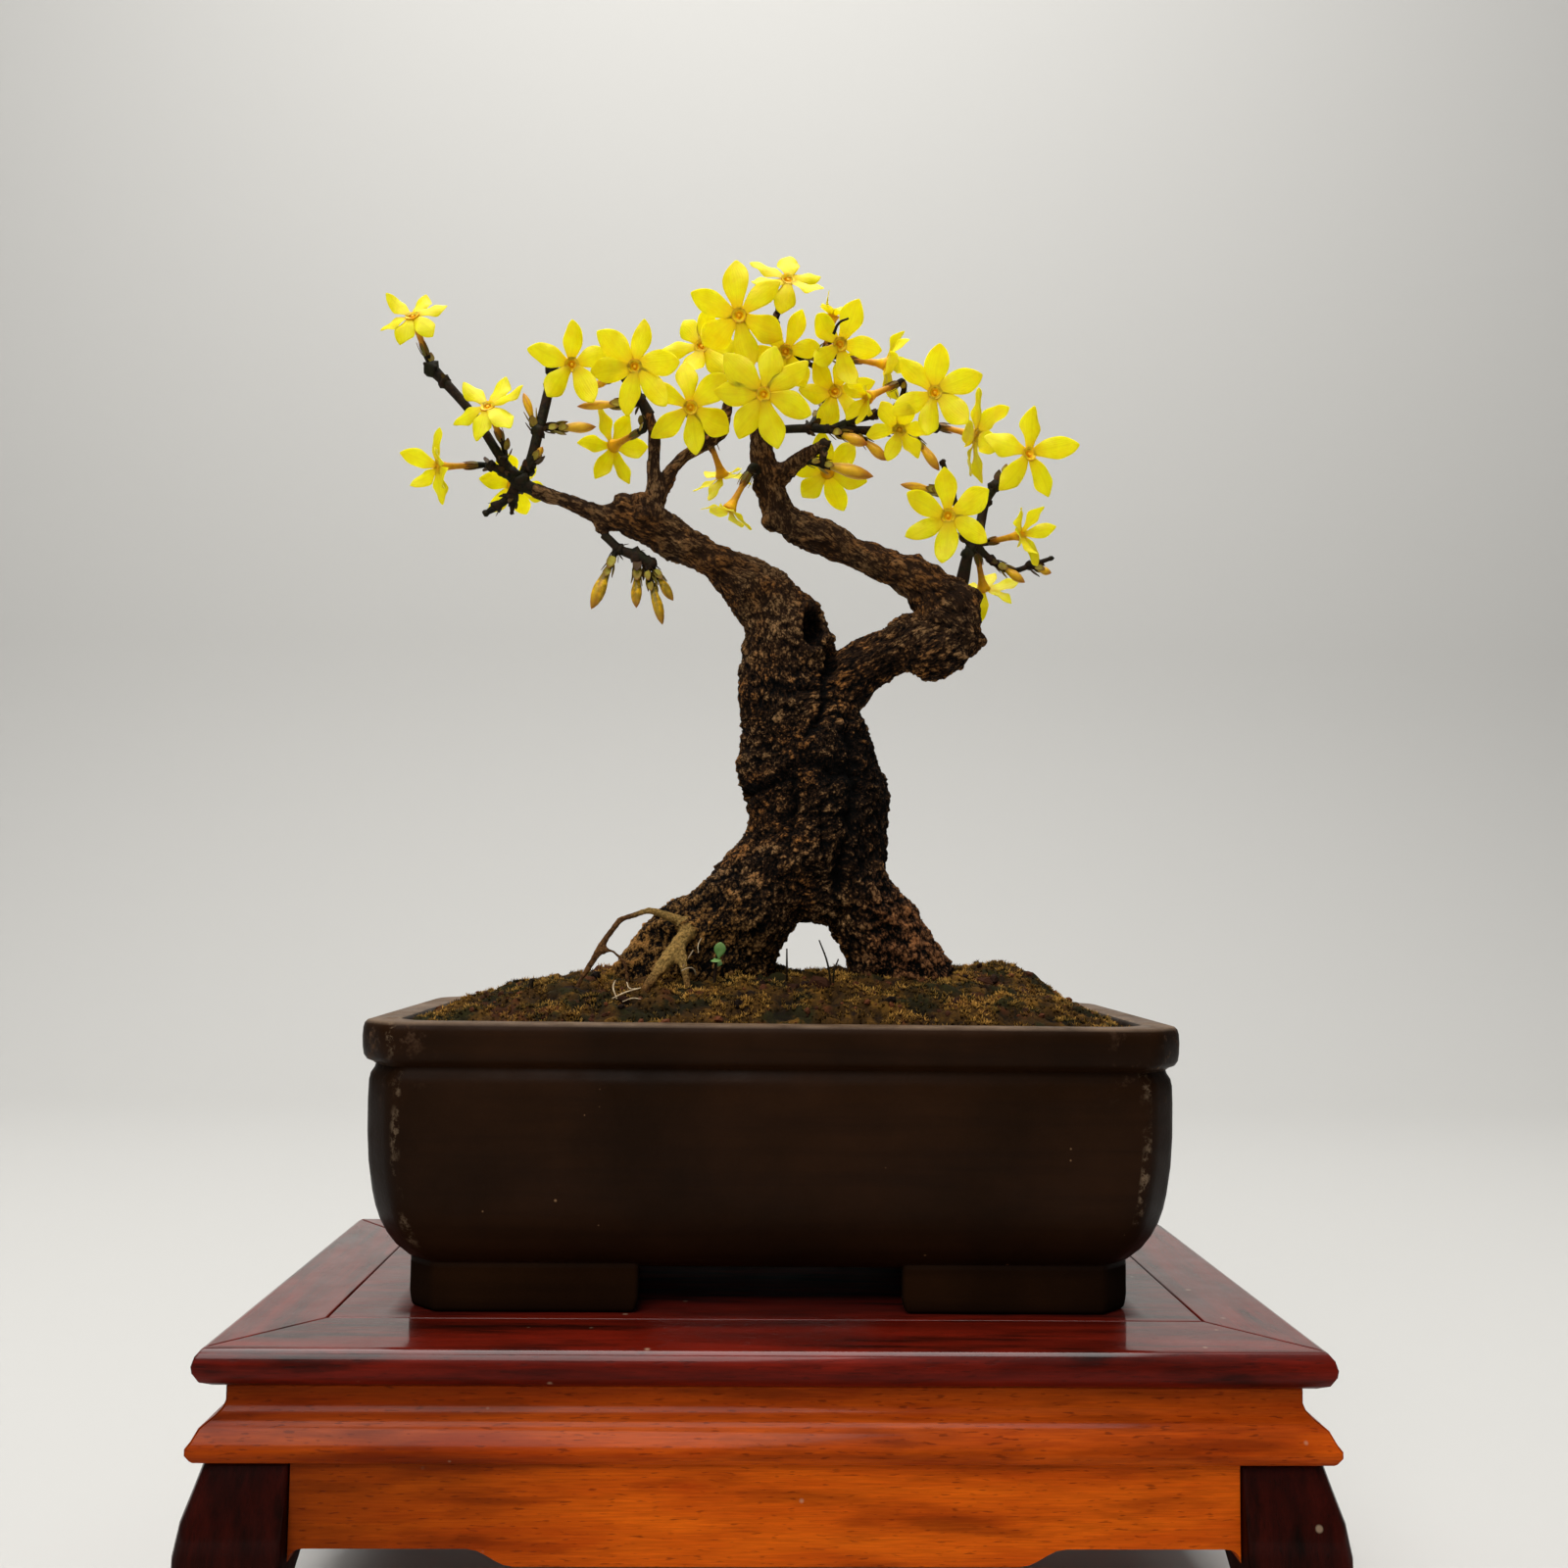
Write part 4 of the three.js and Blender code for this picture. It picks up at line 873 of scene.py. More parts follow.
tuft = model_tuft("tuft", 4, 1.4, 0.27)
matrices, draws = [], []
for point, normal in scatter_places(ground, TUFTS, mossy):
    size = (0.5 + 0.4 * random.random()) * (0.6 + clump(point))
    upward = normal + Vector((0, 0, 0.6)) + 0.35 * Vector([random.uniform(-1, 1) for _ in range(3)])
    turn = pointing(upward) @ Matrix.Rotation(random.random() * ABOUT_A_TURN, 4, "Z")
    matrices.append(Matrix.Translation(point - normal * TUFT_SUNK * MM) @ turn @ Matrix.Scale(size, 4))
    draws.append(clump(point) + 0.2 * (random.random() - 0.5))
tufts = repeat(tuft, "moss_tufts", matrices, draws)
seat(paint(tufts, make_tuft_moss()), "moss")


# %% [markdown]
# Crumbs of soil lie between the tufts, and a few larger clods stand out: to the right of the
# roots, under the arch between them, and along the front. One crumb is an ico sphere with its
# points drawn at random. The clods are set one by one, and a ray from above finds the ground
# under each.

# %% Crumbs of soil
CRUMBS = 620
ABOVE_GROUND = 200
# Clods as (x, y, size), in millimetres.
CLODS = [(58, -6, 2.6), (60.5, -5, 1.8), (50, -12, 2.0), (67.5, -10, 2.0), (73.4, -14, 1.8), (9, -20, 2.4),
         (13, -22, 3.0), (5.6, -21, 2.0), (47, -30, 1.9), (-46, -12, 1.7), (-37, -30, 1.6), (30, -34, 1.5),
         (-8, -36, 1.7)]


def model_crumb():
    """A lump with a few flat sides, about a millimetre across."""
    bpy.ops.mesh.primitive_ico_sphere_add(subdivisions=1, radius=1 * MM)
    crumb = settle(bpy.context.object)
    points = points_of(crumb)
    points *= 1 + 0.3 * (np.random.default_rng(4).random(points.shape) - 0.5)
    move_points(crumb, points)
    return crumb


def make_crumb_soil():
    material, tree, shader = new_material("soil crumbs")
    draw = split(tree, stored(tree, "tuft_place", "Vector"))["X"]
    color = tint(tree, draw, srgb(12, 8, 5), srgb(104, 58, 34))
    height = cloud(tree, millimetres(tree), 0.6, 3)
    wire(tree, shader, Base_Color=color, Roughness=0.9, Normal=bump(tree, height, 0.3),
         Specular_IOR_Level=0.1)
    return material


crumb = model_crumb()
ground_skin = skin_of(ground)
matrices, draws = [], []
for x, y, size in CLODS:
    place = ground_skin.ray_cast(mm(x, y, ABOVE_GROUND), Vector((0, 0, -1)))[0]
    matrices.append(Matrix.Translation(place) @ tumbled()
                    @ Matrix.Diagonal((1.1 * size, 0.9 * size, 0.7 * size, 1)))
    draws.append(0.25 * random.random())
for point, normal in scatter_places(ground, CRUMBS, lambda p: lushness(p) < 0.3):
    size = 0.35 + 1.1 * random.random() ** 3
    matrices.append(Matrix.Translation(point) @ tumbled() @ Matrix.Diagonal((1.2, 0.9, 0.7, 1))
                    @ Matrix.Scale(size, 4))
    draws.append(random.random())
crumbs = repeat(crumb, "soil_crumbs", matrices, draws)
seat(paint(crumbs, make_crumb_soil()), "moss")


# %% [markdown]
# ## Bark
# The wood is old: its bark is cracked into small scales that run along each limb, with ridges
# that catch the light and black furrows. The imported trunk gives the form, and the marks that
# make this trunk itself are listed first: where each limb runs, the creases round the waist, the
# pits, the hollow in the upper trunk, and the burrs and stubs of pruned twigs.

# %% Marks of the bark
# Lines that the limbs follow, each with how much the bark's pattern is drawn out along it.
LIMB_LINES = [((11, 2, 174), (8, 2, 236), -0.25), ((5, 1, 240), (-6, 0, 266), 0.35),
              ((-8, 0, 268), (-66, -6, 292), 0.68), ((12, 1, 234), (46, -6, 250), 0.6),
              ((48, -6, 256), (10, 4, 283), 0.68), ((2, 5, 286), (-4, 6, 314), 0.68),
              ((2, 1, 190), (-22, -1, 150), 0.2), ((20, 2, 190), (37, 1, 150), 0.3),
              ((-33, -3, 288), (-33, -3, 312), 0.68), ((-30, -1, 296), (-14, 2, 311), 0.68)]
# Creases of the trunk's front, each as points (x, z), then its depth and half width.
CREASES = [([(-9, 208.4), (0, 211), (6, 215.4), (11, 217), (16, 215.2), (22, 214)], 2.4, 1.5),
           ([(5.6, 213), (5.2, 199)], 1.7, 0.8), ([(13.3, 205), (13.6, 193)], 2.0, 0.9),
           ([(20.4, 226), (21.8, 211), (20, 198), (18.4, 184)], 2.0, 1.4),
           ([(16.6, 247), (14, 238), (11.6, 226)], 2.0, 1.2), ([(-2, 236.4), (12, 236)], 1.3, 1.0)]
# Pits as (place, radius, depth), and the hollow of the trunk with its half sizes. The last three
# pits draw the wood in under the bud that grows from it.
PITS = [((-3.8, -9, 261.8), 2.0, 1.6), ((39.8, -12, 267), 2.4, 1.8), ((8.4, -15, 217), 3.0, 2.4),
        ((-20, -7, 274), 1.6, 1.2), ((30, -6, 246), 1.8, 1.2), ((-14, -14, 178), 2.6, 1.4),
        ((16, 3.4, 302), 3.4, 1.0), ((20.5, 2.6, 300.7), 3.4, 1.0), ((25.4, 1.8, 299.4), 3.4, 1.0)]
HOLLOW, HOLLOW_HALF = (10.8, -8.6, 254.4), (2.7, 6.6, 5.6)
# Burrs and pruned stubs as (place nearby, radius), in millimetres.
BURRS = [((-42, -7, 290), 3.6), ((-36, -8, 284), 3), ((-50, -6, 287), 2.2), ((-58, -6, 289.4), 1.6),
         ((-4.4, -2, 284.6), 3.4), ((-2.6, -4, 281.4), 2.4), ((-9, 3, 295), 2.4), ((2, 5, 300), 2.2),
         ((24, 3, 277), 2.8), ((33, -6, 272), 2.6), ((40, -2, 273.4), 3), ((30, 0, 268), 2.6),
         ((53, -7, 262), 3.4), ((56, -8, 252), 3.2), ((50, -14, 244), 3.4), ((44, -14, 256), 2.8),
         ((-16, -6, 271), 2.4), ((-10, -10, 262), 2.6), ((14, -8, 262), 2.8), ((17, -7, 252), 3.2),
         ((-12, -8, 236), 3), ((25, -6, 222), 3), ((-10, -12, 206), 2.8), ((27, -8, 200), 2.8)]

print(len(CREASES), "creases,", len(PITS), "pits,", len(BURRS), "burrs")


# %% [markdown]
# To make the chips of bark follow the limbs, each point is first squeezed along the nearest
# limb, and the pattern is read there. Thin wood moves less than thick wood, so each point's
# depth of wood is measured by a ray. A flake is a cell of a Voronoi pattern, thicker towards
# one side and cut off by a crack, and the height of the bark is a sum of flakes and noises.

# %% Tools for bark
DOWNWARD = Vector((0.15, 0, -0.75))
OLD_BARK_TOP = 245


def make_burrs(wood):
    """Round lumps sunk by more than half into the wood nearest to each place."""
    skin = skin_of(wood)
    burrs = []
    for place, radius in BURRS:
        point, normal, *_ = skin.find_nearest(mm(*place))
        bpy.ops.mesh.primitive_ico_sphere_add(subdivisions=2, radius=radius * MM,
                                              location=point - normal * 0.45 * radius * MM)
        burrs.append(settle(bpy.context.object))
    return burrs


def along_limbs(points):
    """Points squeezed along the limb that each is nearest to, in millimetres."""
    nearest_yet, squeezed = np.full(len(points), 1e9), points.copy()
    for start, end, squeeze in LIMB_LINES:
        start, end = np.array(start, float), np.array(end, float)
        length = np.linalg.norm(end - start)
        direction = (end - start) / length
        run = (points - start) @ direction
        away = np.linalg.norm(points - start - np.clip(run, 0, length)[:, None] * direction, axis=1)
        nearer = away < nearest_yet
        nearest_yet = np.where(nearer, away, nearest_yet)
        squeezed = np.where(nearer[:, None], points - squeeze * run[:, None] * direction, squeezed)
    return squeezed


def wood_depth(obj):
    """How much wood lies under each point, in millimetres."""
    skin = skin_of(obj)
    depths = []
    for vertex in obj.data.vertices:
        hit = skin.ray_cast(vertex.co - vertex.normal * 0.3 * MM, -vertex.normal)
        depths.append(hit[3] / MM if hit[3] is not None else 1.0)
    return np.array(depths)


def creases_at(points, wander):
    """How deep the creases and pits cut at each point, in millimetres."""
    deep = np.zeros(len(points))
    front = points + wander
    for line, depth, half_width in CREASES:
        for (x, z), (next_x, next_z) in zip(line, line[1:]):
            run = np.array((next_x - x, next_z - z), float)
            offset = front[:, (0, 2)] - np.array((x, z), float)
            share = np.clip(offset @ run / (run @ run), 0, 1)
            away = np.linalg.norm(offset - share[:, None] * run, axis=1)
            deep = np.maximum(deep, depth * np.exp(-(away / half_width) ** 2) * (points[:, 1] < 2))
    for place, radius, depth in PITS:
        away = np.linalg.norm(front - np.array(place, float), axis=1)
        deep = np.maximum(deep, depth * np.exp(-(away / radius) ** 2))
    return deep


def flake(vector, tilt):
    """A flake of bark about 1 across: thicker towards one side and cut off by a crack."""
    distances, centres = noise.voronoi(vector)
    crack = max(0.0, 1 - (distances[1] - distances[0]) / 0.2)
    return 0.4 * noise.noise(centres[0] * 5.3) + (vector - centres[0]).dot(tilt) - 0.55 * crack


def bark_height(flow, place):
    """Height of the bark at one point, and that of its flakes alone, in millimetres about zero."""
    stray = noise.noise_vector(place / 2.6) * 0.45
    lumps = 1.8 * noise.noise(place / 12.0) + 1.0 * noise.noise(place / 5.0)
    ridges = 1 - 3 * abs(noise.noise(flow / 5.5 + stray))
    old = 1.0 if place.z < OLD_BARK_TOP else 0.6
    flakes = old * 0.75 * flake(flow / 3.1 + stray, DOWNWARD) + 0.45 * flake(flow / 1.6 - stray, DOWNWARD)
    grit = 0.35 * noise.fractal(flow / 1.0, 0.8, 2.1, 3)
    return lumps + 0.3 * ridges + flakes + grit, flakes + 0.8 * grit + 0.15 * ridges


# %% [markdown]
# Burrs are sunk into a copy of the imported trunk, a voxel remesh gives the whole even faces, and
# each point then moves along its normal by the height of the bark there. The hollow is pressed
# in, with a rolled lip. The colour will need three things that only this step knows, so they
# are stored at the points: the height, lowered in the creases and pits and to nothing in the
# hollow as painted shade, the place along the limb, and how thin the wood is.

# %% Bark relief
BARK_VOXEL = 0.62
THICK_WOOD, THIN_WOOD = 11.0, 4
ROOTS_TOP = 190
HOLLOW_DEEPER = 1.5

wood = cad_copy("trunk", "barked_wood")
bark_wood = join([wood, *make_burrs(wood)], "barked_wood")
modify(bark_wood, "REMESH", mode="VOXEL", voxel_size=BARK_VOXEL * MM)
modify(bark_wood, "SMOOTH", factor=0.7, iterations=9)
points = points_of(bark_wood)
places = points / MM
normals = normals_of(bark_wood)
flow = along_limbs(places)
depth = wood_depth(bark_wood)
share = np.clip(depth / THICK_WOOD, 0.16, 1.0)
thin = np.clip(1.6 - depth / THIN_WOOD, 0, 1)
relief = np.array([bark_height(Vector(f), Vector(p)) for f, p in zip(flow, places)])
wander = np.array([noise.noise_vector(Vector(p) / 4.5) for p in places]) * 1.6
deep = creases_at(places, wander)
hollow = np.linalg.norm((places - HOLLOW) / HOLLOW_HALF, axis=1)
lip = 1.2 * np.exp(-((hollow - 1.35) / 0.2) ** 2)
slender = thin * np.where(points[:, 2] < ROOTS_TOP * MM, -0.15, 0.2)
height = share * relief[:, 0] * (hollow > 1) + slender - deep + lip - HOLLOW_DEEPER * (hollow < 1)
move_points(bark_wood, points + normals * height[:, None] * MM)
# Painted shade: the stored value is lowered in the creases and pits, and is nothing in the hollow.
tone_with_crease_shade = 0.5 + 0.24 * (relief[:, 1] - relief[:, 1].mean()) / relief[:, 1].std() - 0.25 * deep
give_attribute(bark_wood, "relief", "FLOAT", np.clip(tone_with_crease_shade, 0, 1) * np.clip((hollow - 1) * 6, 0, 1))
give_attribute(bark_wood, "flow", "FLOAT_VECTOR", flow)
give_attribute(bark_wood, "thin", "FLOAT", thin)
print("bark:", len(points), "points, height", height.min().round(2), "to", height.max().round(2), "mm")
print("in the hollow:", int((hollow < 1).sum()), "points")


# %% [markdown]
# One value, mixed from the height, the chips and the fibres, decides the colour: black in the
# gaps, as painted shade, brown between, and tan on the ridges, partly a painted highlight. Young
# wood above is calmer and evenly brown, and the right side of the trunk is painted darker, as
# shade. Dust and a painted highlight warm the ridges of the left root, a painted highlight lights
# the ridges of the right root, and the thin roots are pale ochre where they leave the trunk,
# partly a painted highlight on their upper part, and redder below.

# %% Bark colour
def bark_pattern(tree, place, fibre):
    """The mixed value: low in the gaps of the bark and high on its ridges."""
    flow = stored(tree, "flow", "Vector")
    broad = spread(tree, cloud(tree, flow, 2.4, 4, 0.7), 0.34, 0.66)
    stray = add(tree, "ShaderNodeTexNoise", {"Vector": flow, "Scale": 0.6, "Detail": 3.0}).outputs["Color"]
    bent = add(tree, "ShaderNodeMix", {0: 0.5, 4: flow, 5: stray}, data_type="VECTOR").outputs[1]
    cracks = add(tree, "ShaderNodeTexVoronoi", {"Vector": bent, "Scale": 1.3}, feature="DISTANCE_TO_EDGE")
    chip = spread(tree, cracks.outputs["Distance"], 0.0, 0.16)
    mixed = times(tree, stored(tree, "relief"), 0.42)
    for part, weight in ((chip, 0.12), (fibre, 0.3), (broad, 0.1)):
        mixed = plus(tree, mixed, times(tree, part, weight))
    young = spread(tree, place["Z"], 240, 272, 0, 0.58)
    mixed = plus(tree, times(tree, mixed, minus(tree, 1.0, young)), times(tree, young, 0.63))
    # Painted shade: the right side of the trunk, between these heights, is darker.
    rightward = spread(tree, place["X"], 10, 24, 0, 0.09)
    shaded = times(tree, spread(tree, place["Z"], 238, 226), spread(tree, place["Z"], 180, 190))
    return minus(tree, mixed, times(tree, rightward, shaded)), chip


def make_bark():
    material, tree, shader = new_material("bark")
    vector = millimetres(tree)
    place = split(tree, vector)
    fibre = spread(tree, cloud(tree, stored(tree, "flow", "Vector"), 0.6, 5, 0.75), 0.36, 0.64)
    mixed, chip = bark_pattern(tree, place, fibre)
    # Painted shade: the gaps of the bark go near black.
    color = tint(tree, spread(tree, mixed, 0.36, 0.5), srgb(4, 3, 2), srgb(58, 38, 22))
    warm = spread(tree, cloud(tree, vector, 13, 3), 0.45, 0.6)
    # The tan of the ridges is partly a painted highlight.
    ridge = tint(tree, warm, srgb(214, 164, 108), srgb(222, 148, 76))
    color = tint(tree, spread(tree, mixed, 0.56, 0.78), color, ridge)
    # Painted highlight on the ridges of the right root.
    right_root = times(tree, spread(tree, place["X"], 22, 30), spread(tree, place["Z"], 190, 176))
    lit = times(tree, right_root, spread(tree, mixed, 0.44, 0.7, 0, 0.6))
    color = tint(tree, lit, color, srgb(196, 126, 80))
    # Dust and a painted highlight on the ridges of the left root.
    leftward = spread(tree, plus(tree, place["X"], times(tree, place["Z"], 0.35)), 66, 40)
    left_root = times(tree, spread(tree, place["Z"], 190, 172), leftward)
    dust = times(tree, left_root, spread(tree, mixed, 0.44, 0.66))
    color = dab(tree, color, dust, 0.6, srgb(214, 156, 80))
    thin = times(tree, stored(tree, "thin"), 2.0, clamp=True)
    # The thin roots are paler on their upper part, partly a painted highlight.
    root = tint(tree, spread(tree, place["Z"], 156, 163), srgb(136, 84, 48), srgb(222, 178, 100))
    root = tint(tree, spread(tree, place["X"], -33, -37), root, srgb(146, 100, 62))
    pale = times(tree, thin, spread(tree, place["Z"], 186, 180))
    color = tint(tree, times(tree, pale, spread(tree, fibre, 0.2, 0.8, 0.35, 0.9)), color, root)
    height = plus(tree, fibre, times(tree, chip, 0.5))
    wire(tree, shader, Base_Color=color, Roughness=0.9, Normal=bump(tree, height, 0.8),
         Specular_IOR_Level=0.1)
    return material


seat(smooth(paint(bark_wood, make_bark()), 70), "bark", "trunk")


# %% [markdown]
# ## Petals
# A winter jasmine bloom has a thin tube that opens into six rounded petals, thin enough to glow
# against the light. One petal is drawn out row by row: a strip of faces is extruded along the
# petal and each new row is widened or narrowed. Bend modifiers then cup it across and curl it
# along, Solidify makes it a thin closed blade, and a subdivision rounds the outline. Sepals,
# bracts and leaves are drawn out in the same way, so the steps are helpers of their own.

# %% Tools for petals and blades
def draw_strip(name, rows, columns, lean=0.0):
    """A strip that stands along Z and faces -Y. Each row is (height, half width)."""
    (low, half), (high, next_half) = rows[:2]
    step = high - low
    bpy.ops.mesh.primitive_grid_add(x_subdivisions=columns, y_subdivisions=1, size=1,
                                    rotation=(math.pi / 2, 0, 0))
    strip = settle(bpy.context.object)
    strip.name = name
    strip.data.transform(Matrix.Translation((0, 0, low + step / 2))
                         @ Matrix.Diagonal((2 * half, 1, step, 1)))
    for vertex in strip.data.vertices:
        vertex.select = vertex.co.z > low + step / 2
    for edge in strip.data.edges:
        edge.select = all(strip.data.vertices[i].select for i in edge.vertices)
    for face in strip.data.polygons:
        face.select = False
    bpy.ops.object.mode_set(mode="EDIT")
    bpy.ops.mesh.select_mode(type="EDGE")
    bpy.ops.transform.resize(value=(next_half / half, 1, 1), center_override=(0, 0, high))
    for (last, last_half), (out, wide) in zip(rows[1:], rows[2:]):
        onward = (lean * (out - last), 0, out - last)
        bpy.ops.mesh.extrude_edges_move(TRANSFORM_OT_translate={"value": onward})
        bpy.ops.transform.resize(value=(wide / last_half, 1, 1), center_override=(lean * out, 0, out))
    bpy.ops.object.mode_set(mode="OBJECT")
    return strip


def bend_strip(strip, rows, attribute, cup, curl):
    """Stores where each point is on the flat strip, then cups it across and curls it along."""
    places = points_of(strip)
    widths = np.interp(places[:, 2], *zip(*rows))
    give_place(strip, attribute, places[:, 0] / np.maximum(widths, 0.01), places[:, 2])
    modify(strip, "SIMPLE_DEFORM", deform_method="BEND", deform_axis="Z", angle=cup)
    return modify(strip, "SIMPLE_DEFORM", deform_method="BEND", deform_axis="X", angle=curl)


def thicken(strip, thickness):
    """Makes the strip a closed blade with a rounded outline."""
    modify(strip, "SOLIDIFY", thickness=thickness, offset=0)
    return modify(strip, "SUBSURF", levels=1, render_levels=1)


# %% [markdown]
# A real petal is never flat or even: its margin waves and its outline wanders. Six models with
# other bends and waves keep the blooms from looking stamped.

# %% One petal
PETAL_ROWS = [(0.08, 0.09), (0.22, 0.13), (0.4, 0.205), (0.56, 0.255), (0.71, 0.262), (0.85, 0.2),
              (0.96, 0.105), (1.04, 0.015)]
PETAL_THICK = 0.02
# Each model as (cup across, curl along, lean to one side).
PETAL_BENDS = [(0.7, 0.5, 0.0), (0.35, -0.45, 0.07), (1.1, 0.2, -0.08), (0.6, -0.75, -0.05),
               (0.9, 0.8, 0.1), (1.5, -0.2, 0.03)]


def ruffle(petal, start):
    """Waves in a petal's margin and an uneven outline. The waves start at an angle in radians."""
    points = points_of(petal)
    x, along = points[:, 0].copy(), points[:, 2]
    points[:, 0] = x * (1 + 0.09 * np.sin(8 * along + start)) + 0.02 * np.sin(5 * along + 2 * start)
    points[:, 1] += 0.9 * x * x * np.sin(11 * along + start + 2 * np.sign(x))
    move_points(petal, points)
    return petal


def model_petal(name, cup, curl, lean):
    """A petal of length 1 that stands along Z, is as wide as X says and faces -Y."""
    petal = draw_strip(name, PETAL_ROWS, 4, lean)
    bend_strip(petal, PETAL_ROWS, "petal_place", cup, curl)
    return ruffle(thicken(petal, PETAL_THICK), 40 * (cup + curl + lean))


petal_models = [model_petal(f"petal_{k}", *bends) for k, bends in enumerate(PETAL_BENDS)]
print("petal models:", len(petal_models), "of", len(petal_models[0].data.polygons), "faces")


# %% [markdown]
# The tube is a profile spun round its axis: it flares at the mouth, then turns back inward to a
# shallow funnel with a small pin in the middle.

# %% Tube of a bloom
TUBE_LENGTH = 11
TUBE_PROFILE = [(0.75, -11.0), (0.8, -8.0), (0.85, -5.0), (1.05, -2.6), (1.6, -0.8), (2.1, 0.15),
                (2.0, 0.5), (1.55, 0.4), (1.1, -0.1), (0.7, -0.7), (0.02, -0.9)]
PIN_PROFILE = [(0.02, -1.4), (0.3, -1.3), (0.32, -0.3), (0.5, 0), (0.4, 0.3), (0.02, 0.36)]


def spin_profile(name, profile, steps, scale=MM):
    """A closed body of turned section. Each point of the profile is (radius, height)."""
    made = new_line(name, [(r * scale, 0, z * scale) for r, z in profile])
    with editing(made):
        bpy.ops.mesh.spin(steps=steps, angle=2 * math.pi, center=(0, 0, 0), axis=(0, 0, 1))
        bpy.ops.mesh.select_all(action="SELECT")
        bpy.ops.mesh.remove_doubles(threshold=0.0001 * scale)
        bpy.ops.mesh.fill_holes(sides=0)
        bpy.ops.mesh.normals_make_consistent(inside=False)
    return made


def model_tube():
    tube = spin_profile("tube", TUBE_PROFILE, 12)
    pin = spin_profile("pin", PIN_PROFILE, 7)
    for part, mark in ((tube, 0.0), (pin, 1.0)):
        places = points_of(part) / MM
        inside = (np.hypot(places[:, 0], places[:, 1]) < 1.7) & (places[:, 2] > -2.2)
        give_place(part, "petal_place", inside, places[:, 2] / TUBE_LENGTH, mark)
    return join([tube, pin], "tube")


tube_model = model_tube()
print("tube:", len(tube_model.data.polygons), "faces")


# %% [markdown]
# Petals are a clear yellow that deepens to orange at the throat, with faint veins along them.
# Light comes through them, so they scatter it under the surface. The tube is brownish orange
# outside, where it runs down into its cup, and golden at the mouth and on the pin.

# %% Petal and tube colours
def make_petal():
    material, tree, shader = new_material("petal")
    place = stored(tree, "petal_place", "Vector")
    across, along, _ = split(tree, place)
    vector = millimetres(tree)
    patches = spread(tree, cloud(tree, vector, 5, 3), 0.35, 0.65)
    color = tint(tree, patches, srgb(246, 208, 0), srgb(254, 232, 6))
    color = dab(tree, color, spread(tree, along, 0.4, 0.12), 0.9, srgb(242, 178, 0))
    veins = add(tree, "ShaderNodeTexWave", {
        "Vector": scaled(tree, place, (1, 0.12, 1)), "Scale": 1.7, "Distortion": 1.5, "Detail": 2.0},
        wave_type="BANDS", bands_direction="X").outputs["Fac"]
    color = dab(tree, color, spread(tree, veins, 0.7, 1.0), 0.09, srgb(206, 176, 6))
    color = dab(tree, color, spread(tree, unsigned(tree, across), 0.12, 0.0), 0.2, srgb(214, 182, 4))
    height = plus(tree, times(tree, veins, 0.16), cloud(tree, vector, 2.2, 3))
    wire(tree, shader, Base_Color=color, Roughness=0.55, Normal=bump(tree, height, 0.16, 0.7),
         Specular_IOR_Level=0.2, Subsurface_Weight=0.7, Subsurface_Radius=(1.0, 0.8, 0.1),
         Subsurface_Scale=2.2 * MM)
    return material


def make_tube():
    material, tree, shader = new_material("bloom tube")
    inside, along, pin = split(tree, stored(tree, "petal_place", "Vector"))
    color = tint(tree, spread(tree, along, -1.0, -0.1), srgb(158, 104, 18), srgb(232, 172, 14))
    mouth = tint(tree, spread(tree, along, -0.09, 0.02), srgb(246, 184, 0), srgb(252, 208, 0))
    color = tint(tree, inside, color, mouth)
    color = tint(tree, pin, color, srgb(246, 190, 6))
    streak = spread(tree, cloud(tree, millimetres(tree), 1.4, 3), 0.4, 0.7)
    streak = times(tree, streak, minus(tree, 0.4, times(tree, inside, 0.4)))
    color = tint(tree, streak, color, srgb(160, 84, 16))
    wire(tree, shader, Base_Color=color, Roughness=0.55, Specular_IOR_Level=0.25, Subsurface_Weight=0.4,
         Subsurface_Radius=(1.0, 0.6, 0.1), Subsurface_Scale=0.8 * MM)
    return material


petal_yellow = make_petal()
for model in petal_models:
    paint(model, petal_yellow)
paint(tube_model, make_tube())
print("painted", len(petal_models), "petal models and the tube")


# %% [markdown]
# ## Where things grow
# Each bloom has a place, a facing and a carrier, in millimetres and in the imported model's frame,
# and so has each bud and each stem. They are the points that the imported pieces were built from,
# so the finer pieces take the places of those that they stand for.

